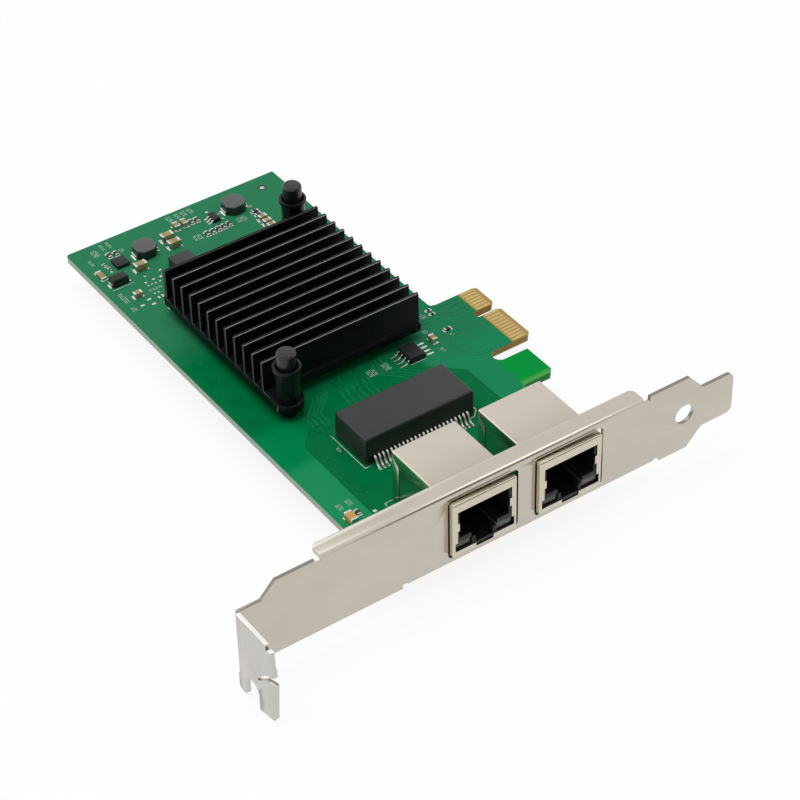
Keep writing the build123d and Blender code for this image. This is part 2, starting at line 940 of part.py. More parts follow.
coils = spots(far_corner, [(14.74, -9.73, 0), (39.64, -7.33, 0)])
chokes = spots(far_corner, [(19.19, -19.58, 0)])
diodes = spots(far_corner, [(4.54, -15.73, 0)])
power_chips = spots(far_corner, [(8.34, -9.93, 0)])
regulators = spots(far_corner, [(33.99, -8.03, 0)])
flashes = spots(right_edge, [(flash_x, flash_y, 0)])
capacitors = [
    (chip_1206, spots(far_corner, [(10.94, -14.23, 0), (21.29, -8.43, 0), (21.29, -11.48, 0)])),
    (chip_1206, spots(near_corner, [(2.44, 16.1, 90)])),
    (chip_low, spots(far_corner, [(2.46, -11.43, 90)])),
    (chip_0805, spots(far_corner, [(5.44, -22.33, 0), (25.19, -5.93, 90), (27.29, -5.93, 90)])),
    (chip_0805, spots(far_corner, [(42.74, -14.63, 0), (42.74, -16.58, 0), (42.74, -18.43, 0)])),
    (chip_0805, spots(right_edge, [(-6.44, -1.8, 90)])),
]
resistors = [
    (chip_0603, spots(far_corner, [(7.66, -5.95, 90), (9.28, -6.16, 90), (29.09, -6.03, 90)])),
    (chip_0603, spots(far_corner, [(30.54, -6.03, 90), (42.94, -11.13, 0), (42.94, -12.53, 0)])),
    (chip_0603, spots(far_corner, [(29.68, -11.98, 90), (31.23, -11.98, 90), (32.78, -11.88, 90)])),
    (chip_0603, spots(far_corner, [(34.14, -11.83, 90), (35.69, -11.68, 90)])),
    (chip_0603, spots(near_corner, [(4.84, 17.4, 90)])),
    (chip_0603, spots(right_edge, [(-1.64, -0.5, 0)])),
    (chip_0402, spots(far_corner, [(5.09, -8.46, 90), (5.34, -10.4, 90)])),
    (chip_0402, spots(right_edge, [(-1.24, 5.8, 0), (-1.24, 7.3, 0)])),
]


def ends_of(places, offset):
    """Both ends of each part, at an offset from its middle along its length."""
    return [
        (x + out * offset * cos(radians(turn)), y + out * offset * sin(radians(turn)), turn)
        for x, y, turn in places
        for out in (-1, 1)
    ]


def end_clips(places, length, width, height):
    """Metal clips that stand against both ends of a moulded or wound block."""
    blocks(ends_of(places, (length + coil_clip) / 2), coil_clip, width, tin, height)


with BuildPart() as capacitor_bodies:
    for (length, width, height, _), places in capacitors:
        blocks(places, length - 2 * chip_skin, width, tin + chip_skin, height)
capacitor_bodies.part.label = "capacitor_bodies"
export_step(capacitor_bodies.part, "parts/capacitor_bodies.step")

# Thin metal cups around both ends of each capacitor.
with BuildPart() as capacitor_ends:
    for (length, width, height, end), places in capacitors:
        blocks(places, length, width + 2 * chip_skin, tin, height + 2 * chip_skin)
        blocks(places, length - 2 * end, width + 4 * chip_skin, 0, height + 1, Mode.SUBTRACT)
        blocks(places, length - 2 * chip_skin, width, tin + chip_skin, height, Mode.SUBTRACT)
capacitor_ends.part.label = "capacitor_ends"
export_step(capacitor_ends.part, "parts/capacitor_ends.step")

with BuildPart() as resistor_bodies:
    for (length, width, height, end), places in resistors:
        blocks(places, length - 2 * end, width, tin, height)
resistor_bodies.part.label = "resistor_bodies"
export_step(resistor_bodies.part, "parts/resistor_bodies.step")

with BuildPart() as resistor_ends:
    for (length, width, height, end), places in resistors:
        blocks(ends_of(places, (length - end) / 2), end, width, tin, height)
resistor_ends.part.label = "resistor_ends"
export_step(resistor_ends.part, "parts/resistor_ends.step")

with BuildPart() as coil_bodies:
    blocks(coils, coil_side, coil_side, tin, coil_high)
    chamfer(coil_bodies.edges().filter_by(Axis.Z), coil_cut)
coil_bodies.part.label = "coil_bodies"
export_step(coil_bodies.part, "parts/coil_bodies.step")

with BuildPart() as coil_clips:
    end_clips(coils, coil_side, clip_wide, clip_high)
coil_clips.part.label = "coil_clips"
export_step(coil_clips.part, "parts/coil_clips.step")

with BuildPart() as choke_body:
    blocks(chokes, choke_side, choke_side, tin, choke_high)
    chamfer(choke_body.edges().group_by(Axis.Z)[-1], 0.2)
choke_body.part.label = "choke_body"
export_step(choke_body.part, "parts/choke_body.step")

with BuildPart() as choke_clips:
    end_clips(chokes, choke_side, clip_wide, clip_high)
choke_clips.part.label = "choke_clips"
export_step(choke_clips.part, "parts/choke_clips.step")

with BuildPart() as diode_body:
    blocks(diodes, diode_long, diode_wide, tin, diode_high)
    chamfer(diode_body.edges().group_by(Axis.Z)[-1], 0.25)
diode_body.part.label = "diode_body"
export_step(diode_body.part, "parts/diode_body.step")

with BuildPart() as diode_clips:
    end_clips(diodes, diode_long, diode_clip_wide, clip_high)
diode_clips.part.label = "diode_clips"
export_step(diode_clips.part, "parts/diode_clips.step")

with BuildPart() as power_chip:
    blocks(power_chips, power_side, power_side, tin, power_high)
power_chip.part.label = "power_chip"
export_step(power_chip.part, "parts/power_chip.step")


def leaded_body(places, wide, long, high):
    """A moulded body a little above the board, its top edges bevelled."""
    blocks(places, wide, long, tin + small_gauge / 2, high)


def leaded_legs(places, wide, shoulder, rows):
    """Bent leads; rows gives, for each side, the leads' distances along the body."""
    for x, y, _ in places:
        for out, along in rows:
            bent = lead(x + out * wide / 2, out, small_reach, shoulder, small_foot, small_gauge)
            for step in along:
                prism(wall(y + step + small_lead / 2), small_lead, bent)


flash_rows = [(out, [(n - 1.5) * flash_pitch for n in range(4)]) for out in (-1, 1)]
regulator_rows = [
    (-1, [-regulator_pitch, 0, regulator_pitch]),
    (1, [-regulator_pitch, regulator_pitch]),
]

with BuildPart() as flash_chip:
    leaded_body(flashes, flash_wide, flash_long, flash_high)
    chamfer(flash_chip.edges().group_by(Axis.Z)[-1], 0.2)
flash_chip.part.label = "flash_chip"
export_step(flash_chip.part, "parts/flash_chip.step")

with BuildPart() as flash_leads:
    leaded_legs(flashes, flash_wide, flash_high * 0.45, flash_rows)
flash_leads.part.label = "flash_leads"
export_step(flash_leads.part, "parts/flash_leads.step")

with BuildPart() as regulator_chip:
    leaded_body(regulators, regulator_wide, regulator_long, regulator_high)
    chamfer(regulator_chip.edges().group_by(Axis.Z)[-1], 0.15)
regulator_chip.part.label = "regulator_chip"
export_step(regulator_chip.part, "parts/regulator_chip.step")

with BuildPart() as regulator_leads:
    leaded_legs(regulators, regulator_wide, regulator_high * 0.45, regulator_rows)
regulator_leads.part.label = "regulator_leads"
export_step(regulator_leads.part, "parts/regulator_leads.step")


# Tinned pads under every lead and end, bare pads where nothing is fitted and the round mark.
dot_pads = spots(far_corner, [
    (14.25, -16.99, 0), (10.37, -17.03, 0), (13.23, -19.14, 0), (11.36, -19.05, 0),
    (9.36, -19.17, 0), (33.97, -4.78, 0),
])
tiny_pads = spots(far_corner, [
    (12.24, -20.49, 0), (11.14, -20.48, 0), (10.18, -20.41, 0), (9.25, -20.43, 0),
    (8.97, -23.65, 0), (9.93, -23.72, 0), (5.27, -11.41, 0),
])
long_pads = spots(far_corner, [
    (9.0, -25.41, 90), (9.96, -25.33, 90), (9.02, -27.94, 90), (8.8, -29.96, 90),
])
foot_pads = spots(far_corner, [(6.84, -24.77, 0), (4.61, -25.78, 0), (6.94, -26.72, 0)])
test_pads = spots(near_corner, [(7.94, 15.9, 0)])
bare_pads = [
    (0.6, 0.6, dot_pads),
    (0.45, 0.45, tiny_pads),
    (0.95, 0.42, long_pads),
    (1.0, 0.6, foot_pads),
    (0.8, 0.8, test_pads),
]
mark_dot = 1.0
mark_in = (5.44, 4.13)


def plates(places, length, width):
    """Flat pads at each place, turned in plan."""
    for x, y, turn in places:
        with Locations((x, y)):
            Rectangle(length, width, rotation=turn)


def end_pads(places, length, width, end):
    """A pad under each end, reaching a little past it."""
    plates(ends_of(places, (length - end + pad_over) / 2), end + pad_over, width)


def foot_spots(places, off, rows):
    """A place beside the body, at an offset from its middle, for each bent lead."""
    return [(x + out * off, y + step, 0) for x, y, _ in places for out, along in rows for step in along]


with BuildPart() as tinned_pads:
    with BuildSketch(deck()) as pads:
        for (length, width, _, end), places in capacitors + resistors:
            end_pads(places, length, width + pad_over, end)
        end_pads(coils, coil_side + 2 * coil_clip, clip_wide + pad_over, coil_clip)
        end_pads(chokes, choke_side + 2 * coil_clip, clip_wide + pad_over, coil_clip)
        end_pads(diodes, diode_long + 2 * coil_clip, diode_clip_wide + pad_over, coil_clip)
        plates(foot_spots(flashes, flash_pad_from, flash_rows), flash_pad, small_lead + pad_side)
        regulator_foot = regulator_wide / 2 + small_reach - small_foot / 2
        plates(foot_spots(regulators, regulator_foot, regulator_rows), foot_pad, small_lead + pad_side)
        for out in (-1, 1):
            foot_y = mag_y + out * (mag_wide / 2 + mag_reach - mag_foot / 2)
            plates([(x, foot_y, 0) for x in mag_rows], mag_lead + pad_side, mag_foot + pad_over)
        for length, width, places in bare_pads:
            plates(places, length, width)
        plates(power_chips, power_side - pad_over, power_side - pad_over)
        with Locations((board_right - mark_in[0], board_far - mark_in[1])):
            Circle(mark_dot / 2)
    extrude(pads.sketch, amount=tin)
tinned_pads.part.label = "tinned_pads"
export_step(tinned_pads.part, "parts/tinned_pads.step")
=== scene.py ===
# %% [markdown]
# # A network card with two ports
# The card is built from the inside out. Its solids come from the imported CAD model, which stays
# where it is. This script adds the looks: softened edges, bent leads, rounded ceramic parts,
# solder, copper under the green mask, and a finish for each surface. Lengths are written in
# millimetres and turned into metres when a mesh is made. Only the camera, the lamps and the
# limits for closing seams are in metres.

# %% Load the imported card
from math import radians

import bmesh
import bpy
import numpy as np
from mathutils import Matrix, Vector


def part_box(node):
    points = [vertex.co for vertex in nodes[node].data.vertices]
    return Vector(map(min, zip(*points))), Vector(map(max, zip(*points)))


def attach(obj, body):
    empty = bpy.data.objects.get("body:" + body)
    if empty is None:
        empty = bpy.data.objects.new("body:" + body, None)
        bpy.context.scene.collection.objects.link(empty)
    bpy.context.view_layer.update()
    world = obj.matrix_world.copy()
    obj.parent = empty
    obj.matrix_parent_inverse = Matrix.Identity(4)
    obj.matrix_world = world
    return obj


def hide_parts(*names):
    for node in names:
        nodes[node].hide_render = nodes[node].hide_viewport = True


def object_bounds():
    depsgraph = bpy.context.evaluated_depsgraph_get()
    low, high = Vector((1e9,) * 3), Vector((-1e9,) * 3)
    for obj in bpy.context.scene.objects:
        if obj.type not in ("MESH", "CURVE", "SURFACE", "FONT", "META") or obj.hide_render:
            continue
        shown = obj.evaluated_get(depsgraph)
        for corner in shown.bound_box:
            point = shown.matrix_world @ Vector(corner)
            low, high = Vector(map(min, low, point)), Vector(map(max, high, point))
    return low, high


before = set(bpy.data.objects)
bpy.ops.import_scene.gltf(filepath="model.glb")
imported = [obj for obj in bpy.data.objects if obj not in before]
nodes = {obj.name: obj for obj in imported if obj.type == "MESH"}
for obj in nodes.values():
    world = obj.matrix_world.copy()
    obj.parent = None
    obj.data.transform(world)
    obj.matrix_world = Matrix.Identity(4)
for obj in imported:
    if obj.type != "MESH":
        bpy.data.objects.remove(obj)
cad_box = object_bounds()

MM = 0.001
MM_IN_METRE = 1000.0
print("pieces in the packed card:", len(nodes))

# %% [markdown]
# ## Where the camera stands
# The photograph was taken from the front left and from above, with a long lens. Its place was
# found from points whose size is known, such as the connector's finger pitch and the bracket's
# length. A camera in Blender looks along its own -Z, so its matrix holds the three directions
# right, up and back as columns.

# %% Camera
BACK = (-0.428454, -0.633447, 0.644339)
RIGHT = (0.819236, -0.573151, -0.018710)
UP = (0.381155, 0.519849, 0.764511)
EYE = (-0.170875, -0.304066, 0.362844)

lens = bpy.data.cameras.new("studio_camera")
lens.sensor_width = 36.0
lens.lens = 120.161
lens.clip_start = 0.01
camera = bpy.data.objects.new("studio_camera", lens)
turn = Matrix((RIGHT, UP, BACK)).transposed().to_4x4()
camera.matrix_world = Matrix.Translation(EYE) @ turn
bpy.context.scene.collection.objects.link(camera)
bpy.context.scene.camera = camera
bpy.context.scene.view_settings.view_transform = "Standard"
print("camera stands", [round(v, 3) for v in EYE], "m from the screw notch")

# %% [markdown]
# ## Measuring the card
# Many small parts lie in one node, because they are alike. To put a detailed part where each
# solid stands, the node's mesh is split into its separate solids. Every vertex starts with a
# number of its own and takes the lowest number among its neighbours, again and again, until
# nothing changes: then all vertices of one solid share a number.


# %% Find the separate solids of a node
def solids_of(name):
    """The lowest corner, highest corner and vertex count of each solid in a node.

    Lengths are in millimetres. Vertices at one place count as one. A label is lowered to the
    least label across each edge until it no longer falls, and the corners are the least and
    greatest places per label."""
    mesh = nodes[name].data
    places = np.empty(len(mesh.vertices) * 3)
    mesh.vertices.foreach_get("co", places)
    places = places.reshape(-1, 3) / MM
    ends = np.empty(len(mesh.edges) * 2, int)
    mesh.edges.foreach_get("vertices", ends)
    _, spot = np.unique(places.round(3), axis=0, return_inverse=True)
    a, b = spot.ravel()[ends.reshape(-1, 2)].T
    label = np.arange(spot.max() + 1)
    while True:
        lower = label.copy()
        np.minimum.at(lower, a, label[b])
        np.minimum.at(lower, b, label[a])
        if (lower == label).all():
            break
        label = lower
    _, solid = np.unique(label[spot.ravel()], return_inverse=True)
    count = solid.max() + 1
    low, high = np.full((count, 3), np.inf), np.full((count, 3), -np.inf)
    np.minimum.at(low, solid, places)
    np.maximum.at(high, solid, places)
    return low, high, np.bincount(solid)


def box_of(name):
    """A node's lowest and highest corners, in millimetres."""
    low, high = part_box(name)
    return np.array(low) / MM, np.array(high) / MM


# %% [markdown]
# Three planes are used again and again: the board's two faces, and the bracket's face. The
# jacks stand a little way out of the bracket, so its face is found from theirs.

# %% The planes that places are measured from
JACK_STANDS_OUT = 1.3
board_low, board_high = box_of("circuit_board")
TOP = board_high[2]
UNDER = board_low[2]
FACE = box_of("jack_shield_left")[0][1] + JACK_STANDS_OUT
print("board top", TOP.round(2), "underside", UNDER.round(2), "bracket face", FACE.round(2))

# %% [markdown]
# ## Two ways to make a mesh
# New shapes are worked out as arrays of points and handed to Blender at once. Shapes of the CAD
# model that only need softer edges are copied, joined up and given a Bevel modifier: real sheet
# metal, mouldings and castings never have perfectly sharp edges, and it is this narrow round
# that catches the light.

# %% Turn arrays into a piece, or soften a CAD node
SAME_PLACE = 2e-7
NO_LENGTH = 1e-7
FLAT_WITHIN = radians(1.0)
SHARP_FROM = radians(30)


def clean(mesh, dissolve=False):
    """Close the seams, join flat faces if asked, and point all faces outwards."""
    shape = bmesh.new()
    shape.from_mesh(mesh)
    bmesh.ops.remove_doubles(shape, verts=shape.verts, dist=SAME_PLACE)
    bmesh.ops.dissolve_degenerate(shape, edges=shape.edges, dist=NO_LENGTH)
    if dissolve:
        bmesh.ops.dissolve_limit(
            shape, verts=shape.verts, edges=shape.edges, angle_limit=FLAT_WITHIN
        )
    bmesh.ops.recalc_face_normals(shape, faces=shape.faces)
    for face in shape.faces:
        face.smooth = True
    shape.to_mesh(mesh)
    shape.free()


def wear(made, material):
    """Give an object one material."""
    made.data.materials.clear()
    made.data.materials.append(material)


def piece(name, points, faces, coat, slot=None, replaces=()):
    """A mesh object from points in millimetres and a list of faces; it rides on the card."""
    mesh = bpy.data.meshes.new(name)
    mesh.from_pydata((np.asarray(points) * MM).tolist(), [], [list(f) for f in faces])
    clean(mesh)
    made = bpy.data.objects.new(name, mesh)
    bpy.context.scene.collection.objects.link(made)
    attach(made, "root")
    if replaces:
        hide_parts(*replaces)
    wear(made, coat)


def soften(node, width, coat):
    """A copy of a CAD node whose sharp edges are rounded by a bevel of this width."""
    mesh = nodes[node].data.copy()
    mesh.materials.clear()
    clean(mesh, dissolve=True)
    made = bpy.data.objects.new("soft_" + node, mesh)
    bpy.context.scene.collection.objects.link(made)
    bevel = made.modifiers.new("rounded_edges", "BEVEL")
    bevel.width = width * MM
    bevel.segments = 2
    bevel.limit_method = "ANGLE"
    bevel.angle_limit = SHARP_FROM
    bevel.harden_normals = True
    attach(made, "root")
    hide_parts(node)
    wear(made, coat)


# %% [markdown]
# ## Finishes
# Each finish is a material of its own, but the small effects in them are shared. Three effects
# are node groups: cloudy patches that change a colour slowly, a fine grain that tilts the
# surface, and a soft step that masks off a zone along one direction. A group hands out only
# masks and normals, and the shader stays in the material.


# %% Shared effects
def new_group(name, inputs, outputs):
    """An empty node group with named sockets; each is (name, kind, default)."""
    group = bpy.data.node_groups.new(name, "ShaderNodeTree")
    for label, kind, value in inputs:
        socket = group.interface.new_socket(label, in_out="INPUT", socket_type=kind)
        if value is not None:
            socket.default_value = value
    for label, kind in outputs:
        group.interface.new_socket(label, in_out="OUTPUT", socket_type=kind)
    return group, group.nodes.new("NodeGroupInput"), group.nodes.new("NodeGroupOutput")


def math(tree, kind, a, b=None):
    """A Math node; a and b are sockets or numbers."""
    node = tree.nodes.new("ShaderNodeMath")
    node.operation = kind
    for socket, value in zip(node.inputs, (a, b)):
        if isinstance(value, (int, float)):
            socket.default_value = value
        elif value is not None:
            tree.links.new(value, socket)
    return node.outputs[0]


def noise_in(tree, start, scale, detail):
    """The value of a noise at the group's Vector."""
    noise = tree.nodes.new("ShaderNodeTexNoise")
    noise.inputs["Detail"].default_value = detail
    tree.links.new(start.outputs["Vector"], noise.inputs["Vector"])
    tree.links.new(scale, noise.inputs["Scale"])
    return noise.outputs["Fac"]


def cloudy_group():
    """Soft patches: two noises of different size, averaged and spread to 0 to 1."""
    tree, start, end = new_group(
        "cloudy_patches",
        [("Vector", "NodeSocketVector", None), ("Size mm", "NodeSocketFloat", 5.0)],
        [("Mask", "NodeSocketFloat")],
    )
    scale = math(tree, "DIVIDE", MM_IN_METRE, start.outputs["Size mm"])
    coarse, finer = (
        noise_in(tree, start, math(tree, "MULTIPLY", scale, times), detail=3.0)
        for times in (1.0, 3.7)
    )
    mean = math(tree, "MULTIPLY", math(tree, "ADD", coarse, finer), 0.5)
    spread = tree.nodes.new("ShaderNodeMapRange")
    spread.inputs["From Min"].default_value = 0.36
    spread.inputs["From Max"].default_value = 0.64
    tree.links.new(mean, spread.inputs["Value"])
    tree.links.new(spread.outputs["Result"], end.inputs["Mask"])
    return tree


def grain_group():
    """A fine grain: noise turned into height, and height into a tilted normal."""
    tree, start, end = new_group(
        "fine_grain",
        [
            ("Vector", "NodeSocketVector", None),
            ("Size mm", "NodeSocketFloat", 0.2),
            ("Depth mm", "NodeSocketFloat", 0.002),
        ],
        [("Normal", "NodeSocketVector")],
    )
    scale = math(tree, "DIVIDE", MM_IN_METRE, start.outputs["Size mm"])
    height = noise_in(tree, start, scale, detail=2.0)
    bump = tree.nodes.new("ShaderNodeBump")
    tree.links.new(height, bump.inputs["Height"])
    depth = math(tree, "MULTIPLY", start.outputs["Depth mm"], MM)
    tree.links.new(depth, bump.inputs["Distance"])
    tree.links.new(bump.outputs["Normal"], end.inputs["Normal"])
    return tree


def zone_group():
    """1 where a coordinate lies between two limits, with soft steps of a given width."""
    tree, start, end = new_group(
        "soft_zone",
        [
            ("Value", "NodeSocketFloat", 0.0),
            ("From mm", "NodeSocketFloat", 0.0),
            ("To mm", "NodeSocketFloat", 1.0),
            ("Soft mm", "NodeSocketFloat", 0.1),
        ],
        [("Mask", "NodeSocketFloat")],
    )
    value = math(tree, "MULTIPLY", start.outputs["Value"], MM_IN_METRE)
    rise = math(tree, "SUBTRACT", value, start.outputs["From mm"])
    fall = math(tree, "SUBTRACT", start.outputs["To mm"], value)
    inside = math(tree, "MINIMUM", rise, fall)
    step = tree.nodes.new("ShaderNodeMapRange")
    step.interpolation_type = "SMOOTHSTEP"
    half = math(tree, "MULTIPLY", start.outputs["Soft mm"], 0.5)
    tree.links.new(math(tree, "MULTIPLY", half, -1.0), step.inputs["From Min"])
    tree.links.new(half, step.inputs["From Max"])
    tree.links.new(inside, step.inputs["Value"])
    tree.links.new(step.outputs["Result"], end.inputs["Mask"])
    return tree


CLOUDY, GRAIN, ZONE = cloudy_group(), grain_group(), zone_group()
print("shared effects:", [g.name for g in (CLOUDY, GRAIN, ZONE)])

# %% [markdown]
# A finish starts from two tones and two roughness values. The cloudy mask moves between them,
# so no surface is one flat colour, and the grain gives it its texture. Stretching the
# coordinates along one direction turns the grain into rolling or milling marks.

# %% Build a finish from tones, roughness and grain
MIX_A, MIX_B, MIX_RESULT = 6, 7, 2


def use(tree, group, **values):
    """A shared effect placed in a material, with its own values; sockets are linked."""
    node = tree.nodes.new("ShaderNodeGroup")
    node.node_tree = group
    for key, value in values.items():
        socket = node.inputs[key.replace("_", " ")]
        if isinstance(value, (int, float)):
            socket.default_value = value
        else:
            tree.links.new(value, socket)
    return node


def mix(tree, mask, a, b):
    """A colour between a and b by a mask; each is a colour or a socket."""
    node = tree.nodes.new("ShaderNodeMix")
    node.data_type = "RGBA"
    tree.links.new(mask, node.inputs["Factor"])
    for index, value in ((MIX_A, a), (MIX_B, b)):
        if isinstance(value, tuple):
            node.inputs[index].default_value = (*value, 1.0)
        else:
            tree.links.new(value, node.inputs[index])
    return node.outputs[MIX_RESULT]


def blend(tree, mask, low, high):
    """A value that goes from low to high with a mask."""
    node = tree.nodes.new("ShaderNodeMapRange")
    tree.links.new(mask, node.inputs["Value"])
    node.inputs["To Min"].default_value = low
    node.inputs["To Max"].default_value = high
    return node.outputs["Result"]


def finish(name, tones, rough, patch=6.0, grain=0.2, depth=0.002, stretch=(1, 1, 1), **sockets):
    """A material with cloudy tones and a grain. Other named values go to the shader itself."""
    material = bpy.data.materials.new(name)
    material.use_nodes = True
    tree = material.node_tree
    shader = tree.nodes["Principled BSDF"]
    where = tree.nodes.new("ShaderNodeTexCoord").outputs["Object"]
    along = tree.nodes.new("ShaderNodeMapping")
    along.inputs["Scale"].default_value = stretch
    tree.links.new(where, along.inputs["Vector"])
    cloud = use(tree, CLOUDY, Vector=where, Size_mm=patch)
    fine = use(tree, GRAIN, Vector=along.outputs["Vector"], Size_mm=grain, Depth_mm=depth)
    colour = mix(tree, cloud.outputs["Mask"], *tones)
    tree.links.new(colour, shader.inputs["Base Color"])
    tree.links.new(blend(tree, cloud.outputs["Mask"], *rough), shader.inputs["Roughness"])
    tree.links.new(fine.outputs["Normal"], shader.inputs["Normal"])
    for key, value in sockets.items():
        shader.inputs[key.replace("_", " ")].default_value = value
    return material, tree, shader, where, colour


def plain(*values, **more):
    """A finish that needs nothing else, so only its material is kept."""
    return finish(*values, **more)[0]


# %% [markdown]
# Some surfaces change with place: a bare rim, and painted light and shade such as a darker
# flank or a bright bend. Their colour is laid over the finish wherever a mask holds, and a mask
# is a product of soft zones along X, Y and Z. A limit far outside the card leaves a zone open on
# that side.

# %% Masks by place, and colours laid over each other
OPEN = -50.0


def axes(tree, where):
    """The three coordinates of a place, one by one."""
    split = tree.nodes.new("ShaderNodeSeparateXYZ")
    tree.links.new(where, split.inputs["Vector"])
    return split.outputs


def facing(tree):
    """The direction in which the surface faces, as its three parts."""
    return axes(tree, tree.nodes.new("ShaderNodeNewGeometry").outputs["Normal"])


def both(tree, *masks):
    """A mask that holds only where all the masks hold: their product."""
    made = masks[0]
    for other in masks[1:]:
        made = math(tree, "MULTIPLY", made, other)
    return made


def zone(tree, *limits):
    """The mask of a place; each limit is (coordinate, from, to, softness) in millimetres."""
    masks = [
        use(tree, ZONE, Value=value, From_mm=low, To_mm=high, Soft_mm=soft).outputs["Mask"]
        for value, low, high, soft in limits
    ]
    return both(tree, *masks)


def layered(tree, colour, *coats):
    """A colour with others laid over it in turn; each coat is (mask, colour)."""
    for mask, coat in coats:
        colour = mix(tree, mask, colour, coat)
    return colour


# %% [markdown]
# ## Light and ground
# A pale floor and a soft studio: one large lamp above on the left, a second one behind on the
# right, and a white room around. The floor's own glow keeps it white in the picture and in
# mirrored rays, however the lamps stand.

# %% Floor
floor_z = cad_box[0].z / MM
HALF_FLOOR = 1500.0
GLOW = 1.03
GLOW_SEEN, GLOW_MIRRORED = 0.86, 0.82
floor_points = [
    (HALF_FLOOR * x, HALF_FLOOR * y, floor_z) for x, y in ((-1, -1), (1, -1), (1, 1), (-1, 1))
]
floor_mesh = bpy.data.meshes.new("studio_floor")
floor_mesh.from_pydata((np.array(floor_points) * MM).tolist(), [], [(0, 1, 2, 3)])
floor = bpy.data.objects.new("studio_floor", floor_mesh)
bpy.context.scene.collection.objects.link(floor)
paper, tree, shader, _, _ = finish(
    "white_paper", ((0.86, 0.86, 0.86), (0.9, 0.9, 0.9)), (0.8, 0.9), patch=60.0, grain=1.0
)
ray = tree.nodes.new("ShaderNodeLightPath")
glow = tree.nodes.new("ShaderNodeEmission")
glow.inputs["Color"].default_value = (1.0, 1.0, 1.0, 1.0)
glow.inputs["Strength"].default_value = GLOW
ground = tree.nodes.new("ShaderNodeMixShader")
seen = math(tree, "MULTIPLY", ray.outputs["Is Camera Ray"], GLOW_SEEN)
mirrored = math(tree, "MULTIPLY", ray.outputs["Is Glossy Ray"], GLOW_MIRRORED)
tree.links.new(math(tree, "MAXIMUM", seen, mirrored), ground.inputs["Fac"])
tree.links.new(shader.outputs["BSDF"], ground.inputs[1])
tree.links.new(glow.outputs["Emission"], ground.inputs[2])
surface = tree.nodes["Material Output"].inputs["Surface"]
tree.links.new(ground.outputs["Shader"], surface)
wear(floor, paper)
print("floor lies at", round(floor_z, 2), "mm")

# %% [markdown]
# The room is white for the camera and for reflections, and dimmer for the light that it gives.
# Reflections show only the room, not the lamps, so that flat metal never turns white. The room
# has three soft patches: a dark one behind the camera, which draws the thin dark line along
# each bend, and two bright panels, which draw the light lines on rounded edges.


# %% Lamps and room
def lamp(name, place, size, power):
    """A square soft lamp at a place in metres, aimed at the middle of the card."""
    data = bpy.data.lights.new(name, "AREA")
    data.size = size
    data.energy = power
    made = bpy.data.objects.new(name, data)
    middle = (cad_box[0] + cad_box[1]) / 2
    made.location = place
    made.rotation_mode = "QUATERNION"
    made.rotation_quaternion = (middle - made.location).to_track_quat("-Z", "Y")
    made.visible_glossy = False
    bpy.context.scene.collection.objects.link(made)


lamp("overhead_lamp", place=(-0.15, 0.1, 1.2), size=0.9, power=8.5)
lamp("back_lamp", place=(0.5, 0.85, 0.85), size=1.1, power=0.5)

room = bpy.data.worlds.new("white_room")
bpy.context.scene.world = room
room.use_nodes = True
air = room.node_tree
sky = air.nodes["Background"]
sky.inputs["Color"].default_value = (1.0, 1.0, 1.0, 1.0)
ray = air.nodes.new("ShaderNodeLightPath")
straight = math(air, "MAXIMUM", ray.outputs["Is Camera Ray"], ray.outputs["Is Transmission Ray"])
heading = air.nodes.new("ShaderNodeTexCoord").outputs["Generated"]
ROOM_LIGHT, ROOM_SEEN, ROOM_MIRRORED = 0.36, 0.64, 0.62


def patch_of_room(direction, edge, core, change):
    """A soft round patch of the room: what it adds to the brightness seen in reflections.

    The patch rises from 0 to its full change as the cosine of the angle to its direction goes
    from edge to core."""
    aim = air.nodes.new("ShaderNodeVectorMath")
    aim.operation = "DOT_PRODUCT"
    aim.inputs[1].default_value = direction
    air.links.new(heading, aim.inputs[0])
    shade = air.nodes.new("ShaderNodeMapRange")
    shade.interpolation_type = "SMOOTHSTEP"
    for label, value in (("From Min", edge), ("From Max", core), ("To Max", change)):
        shade.inputs[label].default_value = value
    air.links.new(aim.outputs["Value"], shade.inputs["Value"])
    return shade.outputs["Result"]


dark_patch = patch_of_room((0.43, -0.64, 0.63), edge=0.86, core=0.965, change=-0.85)
front_panel = patch_of_room((0.52, -0.20, 0.83), edge=0.92, core=0.99, change=1.5)
left_panel = patch_of_room((-0.30, 0.63, 0.72), edge=0.86, core=0.97, change=0.9)
patches = math(air, "ADD", math(air, "ADD", dark_patch, front_panel), left_panel)
mirror = math(air, "ADD", patches, ROOM_MIRRORED)
mirror = math(air, "MULTIPLY", ray.outputs["Is Glossy Ray"], mirror)
level = math(air, "ADD", math(air, "MULTIPLY", straight, ROOM_SEEN), mirror)
air.links.new(math(air, "ADD", level, ROOM_LIGHT), sky.inputs["Strength"])
print("lamps:", len(bpy.data.lights), "room nodes:", len(air.nodes))
